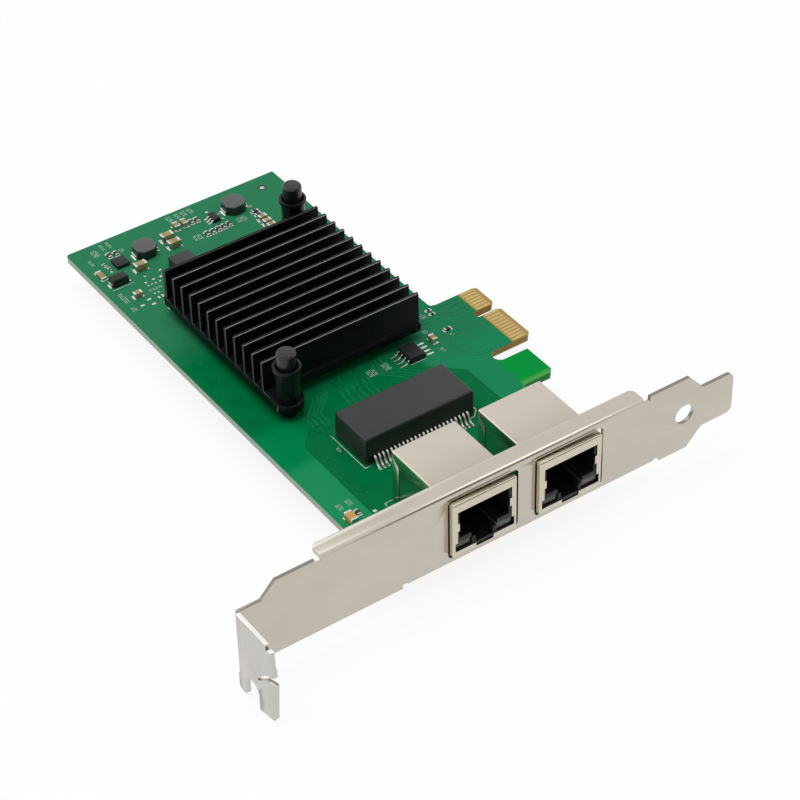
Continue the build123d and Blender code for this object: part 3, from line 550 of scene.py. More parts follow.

# %% [markdown]
# ## The board
# The board is glass cloth and resin under a green solder mask. Its green changes from zone to
# zone: partly the copper below the mask, and mostly painted reflection, lighter and hazier
# where the glossy mask would mirror the white room, darker and more saturated where it would
# mirror the heat sink. The routed edges show the pale core, and near the gold fingers the mask
# stops. The hook beside the connector has no copper inside, so light comes through and it
# looks brighter. All of this depends only on place, so one material does it.

# %% Solder mask, core and hook
solder_mask, tree, shader, where, green = finish(
    "solder_mask", ((0.0, 0.158, 0.046), (0.0, 0.192, 0.060)), (0.22, 0.3),
    patch=16.0, grain=1.2, depth=0.002, Specular_IOR_Level=0.03,
)
x, y, z = axes(tree, where)
slant, lean = math(tree, "SUBTRACT", y, x), math(tree, "ADD", y, x)
corner = zone(tree, (slant, 4.3, 90.0, 0.15), (x, 20.0, 46.5, 7.0), (y, 46.0, 56.0, 4.0))
left = math(
    tree, "MAXIMUM", zone(tree, (x, 20.0, 42.7, 0.15), (y, 20.0, 56.0, 8.0)), corner
)
right = zone(tree, (x, 84.2, 120.0, 0.15), (y, 20.0, 47.5, 0.1))
beside = zone(tree, (lean, 131.6, 220.0, 0.2), (y, 47.3, 78.0, 0.1), (x, 78.0, 120.0, 3.0))
hook = zone(tree, (x, 90.8, 110.0, 1.2), (y, 30.0, 45.8, 0.6))
hook_rim = both(tree, hook, zone(tree, (y, 30.0, 37.6, 1.4)))
bare_end = zone(tree, (x, 97.55, 110.0, 0.1), (y, 48.9, 69.6, 0.1))
# Painted reflection: the coats for left, right, beside and the far end stand for the room or the
# heat sink mirrored in the mask. The hook, its rim and the bare end are the board's own colour.
green = layered(
    tree, green,
    (left, (0.0, 0.240, 0.078)),
    (both(tree, left, zone(tree, (y, 20.0, 42.5, 4.0))), (0.014, 0.293, 0.113)),
    (math(tree, "MAXIMUM", right, beside), (0.012, 0.253, 0.104)),
    (both(tree, beside, zone(tree, (y, 55.0, 78.0, 9.0))), (0.016, 0.220, 0.092)),
    (zone(tree, (y, 88.0, 200.0, 14.0)), (0.028, 0.230, 0.104)),
    (hook, (0.0, 0.32, 0.05)),
    (hook_rim, (0.08, 0.40, 0.08)),
    (bare_end, (0.44, 0.30, 0.072)),
)
inner_copper = math(
    tree, "MAXIMUM", zone(tree, (z, 3.9, 3.96, 0.02)), zone(tree, (z, 4.44, 4.5, 0.02))
)
core = layered(
    tree, (0.48, 0.58, 0.47),
    (inner_copper, (0.30, 0.37, 0.26)),
    (hook, (0.05, 0.30, 0.09)),
    (zone(tree, (x, 91.5, 110.0, 2.0), (y, 45.8, 72.0, 0.5)), (0.48, 0.32, 0.105)),
)
MASK_DEPTH = 0.03
side = zone(tree, (z, UNDER + MASK_DEPTH, TOP - MASK_DEPTH, 0.02))
tree.links.new(mix(tree, side, green, core), shader.inputs["Base Color"])
wear(nodes["circuit_board"], solder_mask)
print("zones in the board's finish:", sum(n.type == "GROUP" for n in tree.nodes) - 2)

# %% [markdown]
# ## Sheet metal
# Nickel is a warm grey that picks up the green of the board. Its colour carries painted
# reflections: the tab, which faces another way, is painted a lighter, greyer tone; the upward
# cut edges of the bracket beside the flange are painted darker than its face, as if they
# mirrored a darker part of the room; and the upward edges of the tab get a painted highlight.
# The rolling marks run along the bracket.

# %% Nickel of the bracket
nickel, tree, shader, where, plate = finish(
    "nickel_plate", ((0.53, 0.49, 0.42), (0.57, 0.53, 0.455)), (0.20, 0.27),
    patch=26.0, grain=0.5, depth=0.0010, stretch=(0.12, 1, 1), Metallic=1.0,
)
x, y, _ = axes(tree, where)
cut_edge = math(tree, "GREATER_THAN", facing(tree)[2], 0.55)
no_flange = math(tree, "SUBTRACT", 1.0, zone(tree, (x, 17.9, 97.9, 0.1)))
# Painted light: a lighter tone on the tab, painted shade on the plate's upward cut edges beside
# the flange, and a painted highlight on the tab's upward edges.
plate = layered(
    tree, plate,
    (zone(tree, (y, OPEN, FACE - 1.2, 1.0)), (0.56, 0.55, 0.515)),
    (both(tree, cut_edge, no_flange, zone(tree, (y, FACE, FACE + 0.9, 0.1))), (0.27, 0.25, 0.21)),
    (both(tree, cut_edge, zone(tree, (y, OPEN, FACE - 0.1, 0.3))), (0.93, 0.90, 0.84)),
)
tree.links.new(plate, shader.inputs["Base Color"])
print("bracket:", nickel.name)

# %% [markdown]
# The cans of the jacks are thin tin-plated sheet. They are painted darker towards the bracket,
# a painted reflection of its shadow, except right at the front, which keeps a light tone; the
# fold along each upper edge gets a painted dark line of shade. Both cans wear one material, so
# the line is placed by the distance to the nearer can's middle.

# %% Tin-plated sheet of the jacks
can, tree, shader, where, plate = finish(
    "jack_can", ((0.60, 0.55, 0.47), (0.625, 0.575, 0.49)), (0.20, 0.25),
    patch=22.0, grain=0.3, depth=0.0007, Metallic=1.0,
)
x, y, z = axes(tree, where)
can_low, can_high = box_of("jack_shield_left")
half_can = (can_high - can_low)[0] / 2
middles = [
    float(sum(box_of(node))[0] / 2 * MM) for node in ("jack_shield_left", "jack_shield_right")
]
away = [math(tree, "ABSOLUTE", math(tree, "SUBTRACT", x, middle)) for middle in middles]
# Painted shade: a nearly black line in the fold.
fold = zone(
    tree,
    (math(tree, "MINIMUM", *away), half_can - 0.22, half_can - 0.006, 0.004),
    (z, OPEN, can_high[2] - 0.4, 0.1),
    (y, FACE + 1.0, can_high[1] - 0.4, 0.1),
)
# Painted reflection and shade: darker towards the bracket, light again at the front, black in the
# fold.
plate = layered(
    tree, plate,
    (zone(tree, (y, OPEN, FACE + 8.0, 16.0)), (0.47, 0.43, 0.365)),
    (zone(tree, (y, OPEN, FACE + 0.4, 0.4)), (0.62, 0.565, 0.46)),
    (fold, (0.05, 0.06, 0.045)),
)
tree.links.new(plate, shader.inputs["Base Color"])
print("half width of a can:", half_can.round(2))

# %% [markdown]
# ## Tin and gold
# Solder and dipped ends are tin with a coarse, crystalline grain. The clips of the coils are
# newer and brighter. The contacts are plated with hard gold over copper.

# %% Tin and gold
TIN_GRAIN = dict(patch=1.2, grain=0.35, depth=0.008, Metallic=1.0)
tin = plain("bright_tin", ((0.56, 0.56, 0.53), (0.70, 0.70, 0.67)), (0.2, 0.34), **TIN_GRAIN)
fresh_tin = plain("fresh_tin", ((0.86, 0.86, 0.82), (0.95, 0.95, 0.90)), (0.24, 0.36), **TIN_GRAIN)
gold = plain(
    "hard_gold", ((0.55, 0.385, 0.155), (0.63, 0.465, 0.20)), (0.26, 0.36),
    patch=2.0, grain=0.6, depth=0.001, Metallic=1.0,
)
print("plated:", tin.name, fresh_tin.name, gold.name)

# %% [markdown]
# ## Black aluminium
# The heat sink is extruded, cut and anodised: nearly black with a dull sheen. The top of each
# fin gets a painted highlight along its near edge, and the end of each fin a fainter painted
# highlight. The farthest fin stands against the board, and its painted highlight is dimmer.

# %% Anodised heat sink
black_metal, tree, shader, where, black = finish(
    "black_anodised", ((0.0018, 0.002, 0.0024), (0.003, 0.0034, 0.004)), (0.36, 0.44),
    patch=8.0, grain=0.25, depth=0.002, stretch=(0.1, 1, 1), Specular_IOR_Level=0.15,
)
sink_low, sink_high = box_of("heat_sink")
x, y, z = axes(tree, where)
sink_points = np.array([v.co for v in nodes["heat_sink"].data.vertices]) / MM
fin_tops = sink_points[:, 2] > sink_high[2] - 0.01
last_fin = float(sink_points[fin_tops, 1].max())
# Painted highlights: a light line along the near top edge of each fin, dimmer on the farthest one,
# and a fainter one on the fin ends that face the front.
fin_top_highlight = zone(tree, (z, sink_high[2] - 0.14, sink_high[2] - 0.012, 0.01))
dim = math(tree, "MULTIPLY", zone(tree, (y, last_fin - 1.5, last_fin + 1.0, 0.1)), 0.8)
fin_top_highlight = math(tree, "MULTIPLY", fin_top_highlight, math(tree, "SUBTRACT", 1.0, dim))
fin_end_highlight = zone(tree, (x, sink_low[0] + 0.012, sink_low[0] + 0.13, 0.01))
front = math(tree, "LESS_THAN", facing(tree)[1], -0.2)
black = layered(
    tree, black,
    (math(tree, "MULTIPLY", both(tree, fin_end_highlight, front), 0.4), (0.4, 0.41, 0.42)),
    (both(tree, fin_top_highlight, front), (0.46, 0.47, 0.48)),
)
tree.links.new(black, shader.inputs["Base Color"])
print("farthest fin at", round(last_fin, 2), "mm, fin tops at", sink_high[2].round(2), "mm")

# %% [markdown]
# ## Mouldings
# Packages are moulded from epoxy with a fine sandy grain. The push pins are smoother nylon,
# and the inside of the jacks is a duller plastic.

# %% Epoxy, nylon and plastic
EPOXY_GRAIN = dict(grain=0.12, depth=0.002)
mould = plain(
    "moulded_epoxy", ((0.011, 0.0115, 0.013), (0.017, 0.0175, 0.020)), (0.4, 0.5),
    patch=5.0, **EPOXY_GRAIN,
)
small_mould = plain(
    "small_mould", ((0.011, 0.012, 0.0125), (0.018, 0.019, 0.019)), (0.42, 0.52),
    patch=2.0, **EPOXY_GRAIN, Specular_IOR_Level=0.3,
)
nylon = plain(
    "black_nylon", ((0.006, 0.0065, 0.008), (0.011, 0.012, 0.014)), (0.22, 0.32),
    patch=3.0, grain=1.4, depth=0.0015,
)
sleeve_nylon = plain(
    "sleeve_nylon", ((0.005, 0.0055, 0.007), (0.009, 0.010, 0.012)), (0.22, 0.32),
    patch=3.0, grain=1.4, depth=0.001, Specular_IOR_Level=0.18,
)
plastic = plain(
    "jack_plastic", ((0.003, 0.003, 0.003), (0.006, 0.006, 0.006)), (0.34, 0.48),
    patch=4.0, grain=0.2, depth=0.002, Specular_IOR_Level=0.35,
)
print("mouldings:", [m.name for m in (mould, small_mould, nylon, sleeve_nylon, plastic)])

# %% [markdown]
# ## Ferrite and ceramics
# The coils are pressed ferrite, grey on top; their flank is painted nearly black, a painted
# shade for the dark between the parts that it mirrors. Capacitors are tan ceramic, those near
# the bracket more orange.

# %% Ferrite, ceramics and the soft pad
FERRITE_GRAIN = dict(patch=1.5, grain=0.1, depth=0.006)
ferrite, tree, shader, where, grey = finish(
    "grey_ferrite", ((0.068, 0.074, 0.073), (0.105, 0.113, 0.111)), (0.42, 0.58), **FERRITE_GRAIN
)
coil_top = box_of("coil_bodies")[1][2]
# Painted shade: the flank below the top is painted nearly black.
flank = zone(tree, (axes(tree, where)[2], OPEN, coil_top - 0.3, 0.25))
grey = layered(tree, grey, (flank, (0.014, 0.017, 0.015)))
tree.links.new(grey, shader.inputs["Base Color"])
dark_ferrite = plain(
    "dark_ferrite", ((0.034, 0.037, 0.037), (0.052, 0.056, 0.055)), (0.42, 0.58),
    **FERRITE_GRAIN, Specular_IOR_Level=0.3,
)
tan, tree, shader, where, clay = finish(
    "tan_ceramic", ((0.285, 0.20, 0.075), (0.43, 0.33, 0.14)), (0.32, 0.46),
    patch=1.6, grain=0.1, depth=0.003,
)
near_bracket = zone(tree, (axes(tree, where)[1], 0.0, FACE + 26.0, 0.5))
clay = layered(tree, clay, (near_bracket, (0.66, 0.33, 0.085)))
tree.links.new(clay, shader.inputs["Base Color"])
dark_ceramic = plain(
    "black_ceramic", ((0.012, 0.012, 0.014), (0.022, 0.022, 0.025)), (0.2, 0.34),
    patch=1.2, grain=0.1, depth=0.002,
)
pad_grey = plain(
    "grey_pad", ((0.20, 0.21, 0.23), (0.26, 0.27, 0.29)), (0.7, 0.85),
    patch=4.0, grain=0.3, depth=0.01,
)
print("pressed and fired:", [m.name for m in (ferrite, dark_ferrite, tan, dark_ceramic)])

# %% [markdown]
# ## Lenses, ink and covered copper
# The lamps of the jacks are unlit, cloudy lenses. Print is white ink, thinner and greener on
# small marks. Tracks are copper under the mask, which looks lighter there than on bare board.

# %% Lenses, ink and covered copper
LENS = dict(patch=2.0, grain=0.5, depth=0.002, Transmission_Weight=0.3, IOR=1.5)
INK_GRAIN = dict(patch=0.8, grain=0.15, depth=0.004)
lens_green = plain(
    "green_lens", ((0.055, 0.080, 0.022), (0.085, 0.115, 0.036)), (0.12, 0.2), **LENS
)
lens_clear = plain("clear_lens", ((0.11, 0.115, 0.12), (0.20, 0.205, 0.21)), (0.12, 0.2), **LENS)
ink = plain("white_ink", ((0.60, 0.68, 0.62), (0.74, 0.80, 0.75)), (0.5, 0.65), **INK_GRAIN)
faint_ink = plain("faint_ink", ((0.32, 0.50, 0.40), (0.55, 0.66, 0.59)), (0.5, 0.65), **INK_GRAIN)
copper = plain(
    "mask_over_copper", ((0.0, 0.190, 0.066), (0.004, 0.235, 0.088)), (0.24, 0.32),
    patch=9.0, grain=0.4, depth=0.002, Specular_IOR_Level=0.06,
)
print("finishes in all:", len(bpy.data.materials))

# %% [markdown]
# ## Softened sheet metal, mouldings and castings
# The bracket, the jacks' cans, the heat sink and the larger packages keep the shapes of the
# CAD model, with rounded edges. The width of the round is what the part has: about a tenth of
# a millimetre on stamped sheet, and more on a moulding. The gold fingers and the pad keep
# their CAD mesh and only get a finish.

# %% Soften what is sharp
softened = (
    ("bracket", 0.14, "nickel", nickel),
    ("jack_shield_left", 0.06, "shield", can),
    ("jack_shield_right", 0.06, "shield", can),
    ("jack_insert_left", 0.06, "insert", plastic),
    ("jack_insert_right", 0.06, "insert", plastic),
    ("heat_sink", 0.13, "anodised", black_metal),
    ("magnetics_body", 0.16, "mould", mould),
    ("controller_chip", 0.10, "mould", mould),
    ("flash_chip", 0.10, "mould", small_mould),
    ("regulator_chip", 0.08, "mould", small_mould),
    ("power_chip", 0.06, "mould", small_mould),
    ("diode_body", 0.12, "mould", small_mould),
    ("choke_body", 0.18, "ferrite", dark_ferrite),
    ("coil_bodies", 0.20, "ferrite", ferrite),
    ("pin_sleeves", 0.14, "black_nylon", sleeve_nylon),
    ("centre_pins", 0.14, "black_nylon", nylon),
    ("bracket_screws", 0.10, "screw", nickel),
    ("link_lamps", 0.08, "green_lens", lens_green),
    ("activity_lamps", 0.08, "clear_lens", lens_clear),
    ("jack_contacts_left", 0.05, "gold", gold),
    ("jack_contacts_right", 0.05, "gold", gold),
    ("coil_clips", 0.06, "tin", fresh_tin),
    ("choke_clips", 0.06, "tin", tin),
    ("diode_clips", 0.06, "tin", tin),
)
for node, width, slot, coat in softened:
    soften(node, width, coat)

for node, coat in (
    ("edge_contacts_component_side", gold),
    ("edge_contacts_solder_side", gold),
    ("heat_pad", pad_grey),
):
    wear(nodes[node], coat)
print("softened nodes:", len(softened))

# %% [markdown]
# ## Ceramic chips
# A chip capacitor is a small fired block with rounded corners, dipped in metal at both ends.
# A block with rounded edges is a ball whose eight parts are pushed out to the eight corners:
# each point is the corner's centre plus the radius times the ball's direction.


# %% Rounded blocks at many places
def grid_faces(rows, columns, copies=1):
    """Four-sided faces of a grid of points that closes on itself round its columns."""
    r = np.arange(rows - 1)[:, None]
    c = np.arange(columns)[None, :]
    after = (c + 1) % columns
    one = np.stack(
        [r * columns + c, (r + 1) * columns + c, (r + 1) * columns + after, r * columns + after],
        axis=-1,
    ).reshape(-1, 4)
    every = one[None] + (np.arange(copies) * rows * columns)[:, None, None]
    return every.reshape(-1, 4).tolist()


def rounded_blocks(low, high, radius):
    """Blocks with rounded edges between low and high corners, all at once.

    Angles t from the pole and p round it run in quarters. A point is the block's middle, plus
    its quarter's signs times the half size less the radius, plus radius times the direction.
    The radius stays below half of the block's smallest size."""
    low, high = np.atleast_2d(low), np.atleast_2d(high)
    steps = 3
    quarter = np.linspace(0, np.pi / 2, steps)
    t = np.concatenate([quarter, np.pi / 2 + quarter])[:, None]
    p = np.concatenate([n * np.pi / 2 + quarter for n in range(4)])[None, :]
    sign_z = np.repeat([1, -1], steps)[:, None]
    sign_x = np.repeat([1, -1, -1, 1], steps)[None, :]
    sign_y = np.repeat([1, 1, -1, -1], steps)[None, :]
    rows, columns = 2 * steps, 4 * steps
    way = np.stack([np.sin(t) * np.cos(p), np.sin(t) * np.sin(p), np.cos(t) + 0 * p], axis=-1)
    sign = np.stack(np.broadcast_arrays(sign_x, sign_y, sign_z), axis=-1)
    half = (high - low) / 2
    radius = np.minimum(radius, half.min(axis=1) * 0.95)[:, None, None, None]
    middle = ((low + high) / 2)[:, None, None, :]
    points = middle + sign * (half[:, None, None, :] - radius) + radius * way
    faces = grid_faces(rows, columns, len(low))
    ring = np.arange(columns)
    starts = np.arange(len(low))[:, None] * rows * columns
    tops = (starts + ring).tolist()
    bottoms = (starts + (rows - 1) * columns + ring[::-1]).tolist()
    return points.reshape(-1, 3), faces + tops + bottoms


def blocks_for(node, name, radius, slot, coat):
    """Rounded blocks that stand for every solid of a node."""
    low, high, _ = solids_of(node)
    piece(name, *rounded_blocks(low, high, radius), coat, slot, [node])
    print(name, len(low), "blocks")


blocks_for("capacitor_bodies", "capacitor_ceramic", 0.06, "tan_ceramic", tan)
blocks_for("capacitor_ends", "capacitor_caps", 0.09, "tin", tin)
blocks_for("resistor_bodies", "resistor_film", 0.04, "black_ceramic", dark_ceramic)
blocks_for("resistor_ends", "resistor_caps", 0.06, "tin", tin)

# %% [markdown]
# ## Solder on the pads
# The pads are thin plates in the CAD model. Solder stands on them as a flat drop, so each
# plate on top becomes a low cushion. The two round targets for the placing machine stay flat
# discs. A plate's mesh has few vertices and a disc's has many, which tells them apart.

# %% Solder on the pads, and the round targets
MOST_CORNERS_OF_A_PLATE = 24
SOLDER_HEIGHT = 0.07
DISC_HEIGHT = 0.04


def lathe(outline, spots, turns=32):
    """A round body at each spot (x, y).

    The outline holds (radius, height) points. A point is the spot plus the radius times the
    cosine and sine of the turn, with its own height. An outline that starts and ends on the
    axis closes the body."""
    outline, spots = np.asarray(outline, float), np.atleast_2d(spots)
    turn = np.linspace(0, 2 * np.pi, turns, endpoint=False)[None, :]
    radius, height = outline[:, :1], outline[:, 1:]
    ring = np.stack([radius * np.cos(turn), radius * np.sin(turn), height + 0 * turn], axis=-1)
    place = np.column_stack([spots, np.zeros(len(spots))])[:, None, None, :]
    points = (ring[None] + place).reshape(-1, 3)
    return points, grid_faces(len(outline), turns, len(spots))


low, high, corners = solids_of("tinned_pads")
square = corners <= MOST_CORNERS_OF_A_PLATE
on_top = low[:, 2] > TOP - 0.5
lift = np.zeros_like(low)
lift[:, 2] = np.where(on_top, SOLDER_HEIGHT, 0.0)
points, faces = rounded_blocks(low[square], (high + lift)[square], 0.055)
middle_of_targets = ((low + high) / 2)[~square]
across = (high - low)[~square, 0]
for spot, size in zip(middle_of_targets, across):
    rim = [(size / 2, TOP), (size / 2, TOP + DISC_HEIGHT)]
    more, rings = lathe([(0, TOP), *rim, (0, TOP + DISC_HEIGHT + 0.005)], spot[:2])
    faces += (np.array(rings) + len(points)).tolist()
    points = np.vstack([points, more])
piece("solder_on_pads", points, faces, tin, "tin", ["tinned_pads"])
print("pads", int(square.sum()), "round", int((~square).sum()))

# %% [markdown]
# ## Bent leads
# A gull-wing lead leaves the body level, bends down and ends in a flat foot on its pad. It is
# cut and bent from strip, so it has one thickness and soft bends. Its middle line has four
# corners, and cutting each corner twice in the ratio 1 to 3 rounds the bends.

# %% Leads as a strip carried along a line
INSIDE_BODY = 0.15
BEND_STARTS, BEND_ENDS = 0.2, 0.56


def round_corners(line, times=2):
    """Cut every corner of a line at a quarter and three quarters of its runs."""
    for _ in range(times):
        a, b = line[:-1], line[1:]
        cut = np.stack([0.75 * a + 0.25 * b, 0.25 * a + 0.75 * b], axis=1).reshape(-1, 2)
        line = np.vstack([line[:1], cut, line[-1:]])
    return line


def leads_for(node, body, name, gauge, slot, coat):
    """A bent lead in the box of each solid of a node, reaching out from the body.

    The middle line is drawn as (way out, height). The strip's two faces are the line plus and
    minus half the gauge along its normal."""
    low, high, _ = solids_of(node)
    centre_low, centre_high, _ = solids_of(body)
    centre = (centre_low + centre_high)[0] / 2
    size = high - low
    axis = np.where(size[:, 0] > size[:, 1], 0, 1)
    rows = np.arange(len(low))
    middle = (low + high) / 2
    out = np.sign(middle[rows, axis] - centre[axis])
    wide = size[rows, 1 - axis]
    run, rise = size[rows, axis].mean(), size[:, 2].mean()
    line = round_corners(
        np.array(
            [
                (-INSIDE_BODY, rise - gauge / 2),
                (BEND_STARTS * run, rise - gauge / 2),
                (BEND_ENDS * run, gauge / 2),
                (run, gauge / 2),
            ]
        )
    )
    tangent = np.gradient(line, axis=0)
    tangent /= np.linalg.norm(tangent, axis=1)[:, None]
    normal = np.column_stack([-tangent[:, 1], tangent[:, 0]])
    over, under = line + normal * gauge / 2, line - normal * gauge / 2
    section = np.stack([over, over, under, under], axis=1)
    across = np.array([-0.5, 0.5, 0.5, -0.5])[None, None, :] * wide[:, None, None]
    away = out[:, None, None] * section[None, :, :, 0]
    root = np.where(out > 0, low[rows, axis], high[rows, axis])[:, None, None]
    points = np.empty((len(low), len(line), 4, 3))
    along, beside = root + away, middle[rows, 1 - axis][:, None, None] + across
    runs_in_x = (axis == 0)[:, None, None]
    points[..., 0] = np.where(runs_in_x, along, beside)
    points[..., 1] = np.where(runs_in_x, beside, along)
    points[..., 2] = low[:, 2][:, None, None] + section[None, :, :, 1]
    faces = grid_faces(len(line), 4, len(low))
    first = np.arange(len(low))[:, None] * len(line) * 4
    faces += (first + np.arange(4)).tolist()
    faces += (first + (len(line) - 1) * 4 + np.arange(4)[::-1]).tolist()
    piece(name, points.reshape(-1, 3), faces, coat, slot, [node])
    print(name, len(low), "leads")


leads_for("magnetics_leads", "magnetics_body", "magnetics_feet", 0.2, "tin", tin)
leads_for("flash_leads", "flash_chip", "flash_feet", 0.18, "tin", tin)
leads_for("regulator_leads", "regulator_chip", "regulator_feet", 0.18, "tin", tin)

# %% [markdown]
# ## Solder on the underside
# The jacks' contacts go through the board, and each tail is soldered from below. The solder
# climbs the tail in a hollow cone: its outline falls steeply at first and then flattens out.

# %% Cones of solder round the tails
HALF_TAIL = 0.175
CONE_FOOT, CONE_TIP, CONE_HEIGHT = 0.80, 0.28, 0.75
tails = []
for node in ("jack_contacts_left", "jack_contacts_right"):
    tail_low, tail_high, _ = solids_of(node)
    middle = (tail_low + tail_high) / 2
    lowest = np.abs(tail_low[:, 2] - tail_low[:, 2].min()) < 0.2
    tails.append(np.column_stack([middle[lowest, 0], tail_high[lowest, 1] - HALF_TAIL]))
tails = np.vstack(tails)
climb = np.linspace(0, 1, 7)
radius = CONE_TIP + (CONE_FOOT - CONE_TIP) * (1 - climb) ** 2.2
cone = np.column_stack([radius, UNDER - 0.02 - CONE_HEIGHT * climb])
cone = np.vstack([(0, UNDER), (CONE_FOOT, UNDER), cone, (0, UNDER - 0.02 - CONE_HEIGHT)])
piece("tail_solder", *lathe(cone, tails, 20), tin, "tin")
print("soldered tails:", len(tails))

# %% [markdown]
# ## Copper on both faces
# Tracks show through the mask as raised, lighter lines. They are flat strips along a line: at
# each corner the strip's sides meet on the bisector, so its width stays the same. A strip
# starts a little below the board's surface, so that no gap shows under it.

# %% Strips on the board
SUNK = 0.01
FAN_SPACING = 1.15


def strips(lines, width, low, high):
    """Flat strips of one width along lines of (x, y) points.

    Each side is the line plus or minus half the width along the bisector of the two runs'
    normals, divided by the cosine of half the turn."""
    points, faces = [], []
    count = 0
    for line in lines:
        line = np.asarray(line, float)
        run = np.diff(line, axis=0)
        run /= np.linalg.norm(run, axis=1)[:, None]
        side = np.column_stack([-run[:, 1], run[:, 0]])
        before, after = np.vstack([side[:1], side]), np.vstack([side, side[-1:]])
        mitre = before + after
        mitre /= np.linalg.norm(mitre, axis=1)[:, None]
        reach = (width / 2) / (mitre * after).sum(axis=1)[:, None]
        left, right = line + mitre * reach, line - mitre * reach
        level = np.ones((len(line), 1))
        section = [
            np.hstack([edge, level * height])
            for edge, height in ((left, low), (left, high), (right, high), (right, low))
        ]
        points.append(np.stack(section, axis=1).reshape(-1, 3))
        faces += (np.array(grid_faces(len(line), 4)) + count).tolist()
        last = count + (len(line) - 1) * 4
        faces += [[count + n for n in range(4)], [last + n for n in (3, 2, 1, 0)]]
        count += len(line) * 4
    return np.vstack(points), faces


def on_card(*spots):
    """Places (x, y) whose y is given from the bracket's face, as the card frame has them."""
    return [(x, y + FACE) for x, y in spots]


def lay(name, lines, width, height, coat, slot=None):
    """One piece of strips on the board's top face."""
    piece(name, *strips(lines, width, TOP - SUNK, TOP + height), coat, slot)
    print(name, len(lines), "strips")


tracks = [
    on_card((u, 57.5), (u, 54.4), (u - 5.0, 49.4), (u - 5.0, 44.0))
    for u in 56.2 - FAN_SPACING * np.arange(4)
]
for n in range(6):
    u, v = 58.6 + n * 1.2 + (n // 2) * 0.5, 52.0 - 0.3 * (n % 2)
    tracks.append(on_card((u, 57.5), (u, v), (u - 0.5, v - 0.6), (u - 0.5, 42.5)))
tracks += [
    on_card((u, 57.5), (u, 53.8), (u + 5.6, 48.2), (u + 5.6, 42.5))
    for u in 67.4 + FAN_SPACING * np.arange(4)
]
lay("board_tracks", tracks, 0.72, 0.015, copper, "solder_mask")

# %% [markdown]
# Beside the fingers the copper lies under mask of the same tone, so only its raised edge shows.
# Such strips wear the board's own material. Two arcs run round the longer row of fingers.

# %% Raised copper
raised = [
    on_card((97.0, v), (92.6, v), (91.2, v + 1.4), (82.5, v + 1.4))
    for v in (59.6, 60.7, 62.6, 63.7)
]
raised += [
    on_card((42.7, 19.0), (42.7, 42.6), (46.4, 46.3), (50.0, 46.3)),
    on_card((84.2, 31.0), (84.2, 43.0), (80.6, 46.6), (77.0, 46.6)),
]
arc = np.radians(np.arange(100, 281, 15))
for radius in (4.4, 5.1):
    across, along = 91.6 + 1.05 * radius * np.cos(arc), 50.4 + radius * np.sin(arc)
    raised.append(on_card(*zip(across, along)))
lay("raised_copper", raised, 0.3, 0.03, solder_mask, "solder_mask")

# %% [markdown]
# The underside can't be seen from the camera. It gets the tracks that such a board needs: from
# the fingers inwards, and from the jacks to the controller. Vias join the layers: each is a
# small covered dot that shows on both faces.

# %% Tracks below, and vias
below = [
    on_card((97.0, v), (90.0, v), (87.5, v + 2.5), (72.0 - n, v + 2.5))
    for n, v in enumerate((49.2, 50.2, 52.2, 53.2, 60.2, 61.2, 63.2))
]
below += [
    on_card((52.0 + n, 26.0 + n % 2), (52.0 + n, 40.0), (55.0 + n, 43.0), (55.0 + n, 66.0))
    for n in range(8)
]
below += [
    on_card((41.0 + n, 110.0), (41.0 + n, 84.0 + n), (50.0, 75.0 + 2 * n)) for n in range(5)
]
piece(
    "tracks_below", *strips(below, 0.3, UNDER - 0.02, UNDER + SUNK), copper, "solder_mask"
)
via_spots = on_card(
    *((40.0, 50.0 + 7.0 * n) for n in range(7)),
    *((45.5 + 3.1 * (n % 2), 24.0 + 2.9 * n) for n in range(6)),
    *((83.0 + 1.9 * (n % 3), 64.5 - 2.2 * (n // 3)) for n in range(6)),
    *((52.0 + 5.0 * n, 112.0 + 1.2 * (n % 2)) for n in range(6)),
)
dot = [(0, 0.0), (0.32, 0.0), (0.30, 0.015), (0.14, 0.012), (0, 0.0)]
upper = [(radius, TOP - 0.004 + height) for radius, height in dot]
lower = [(radius, UNDER + 0.004 - height) for radius, height in dot]
for name, outline in (("vias_above", upper), ("vias_below", lower)):
    piece(name, *lathe(outline, via_spots, 12), copper, "solder_mask")
print("tracks below", len(below), "vias", len(via_spots))

# %% [markdown]
# ## Print
# The print shows outlines round the larger parts, and short plain bars beside the small ones.
# Each bar is cut in two and spells nothing. A dark ring of bare laminate lies round the target
# at the far corner.

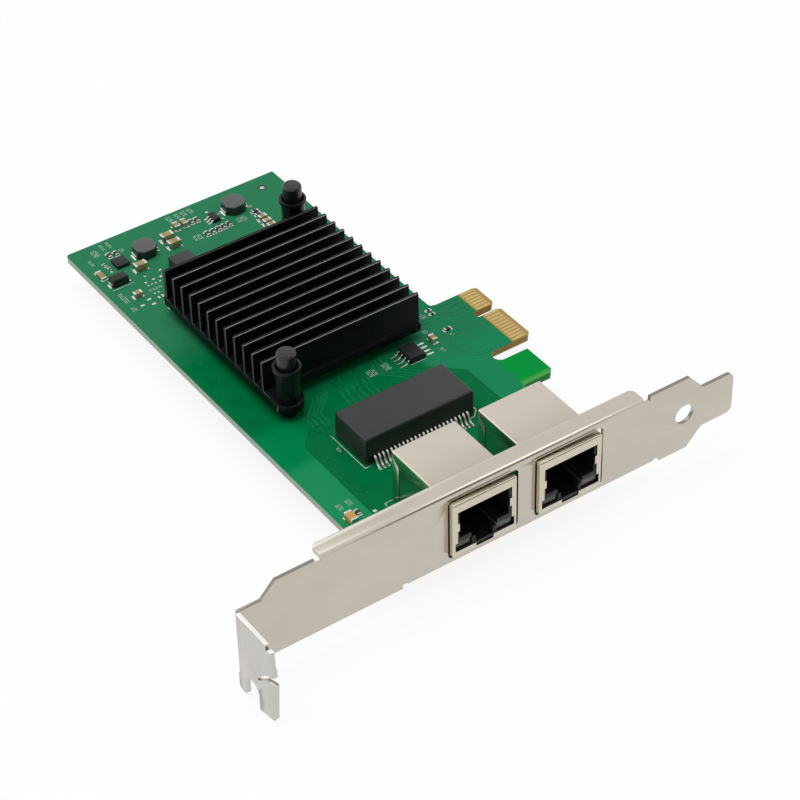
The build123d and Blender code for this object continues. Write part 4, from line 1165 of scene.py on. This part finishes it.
# %% Print on the board
BAR_SPACING, HALF_CUT = 0.42, 0.12
CUTS = (-0.35, 0.1, 0.45)
outlines = [
    on_card((49.1, 42.3), (49.1, 29.9), (50.6, 29.9)),
    on_card((75.2, 29.9), (76.4, 29.9), (78.0, 31.5), (78.0, 42.3)),
    on_card((37.5, 110.9), (43.0, 110.9)),
    on_card((75.6, 51.3), (79.5, 51.3)),
    on_card((46.3, 18.0), (46.3, 18.9), (48.3, 18.9)),
]
# each row of bars: middle x, middle y, number of bars, half height
bar_rows = [
    (38.4, 23.3, 3, 0.9), (40.7, 23.4, 3, 0.9), (62.9, 116.6, 5, 1.0), (74.6, 116.7, 6, 0.9),
    (67.3, 54.0, 5, 1.1), (71.0, 54.0, 4, 1.2), (84.3, 58.7, 3, 0.6), (48.0, 37.8, 2, 0.7),
    (38.1, 107.2, 3, 2.0), (38.0, 102.6, 3, 0.8), (41.1, 124.9, 4, 1.2), (38.6, 122.3, 2, 1.1),
    (43.5, 126.1, 2, 1.2), (45.2, 126.1, 2, 1.2), (46.6, 122.7, 3, 0.6), (61.2, 126.3, 3, 1.0),
    (63.3, 126.3, 3, 1.0), (65.0, 126.3, 3, 1.0), (66.7, 126.3, 3, 1.0), (78.6, 119.8, 3, 0.5),
    (45.6, 106.2, 8, 0.4), (84.0, 51.6, 2, 0.7), (88.7, 54.7, 3, 0.4), (87.0, 63.4, 3, 0.9),
]
bars = []
for middle_u, v, count, reach in bar_rows:
    for n in range(count):
        u, cut = middle_u + (n - (count - 1) / 2) * BAR_SPACING, CUTS[n % 3]
        for start, end in ((-1.0, cut - HALF_CUT), (cut + HALF_CUT, 1.0)):
            bars.append(on_card((u, v + reach * start), (u, v + reach * end)))
lay("board_print", outlines, 0.16, 0.03, ink)
lay("print_bars", bars, 0.17, 0.02, faint_ink)
ring_low, ring_high = TOP - SUNK, TOP + 0.006
ring = [(0.75, ring_low), (1.15, ring_low), (1.12, ring_high), (0.75, ring_high), (0.75, ring_low)]
target = middle_of_targets[middle_of_targets[:, 0].argmax()]
piece("target_ring", *lathe(ring, target[:2], 28), dark_ceramic)
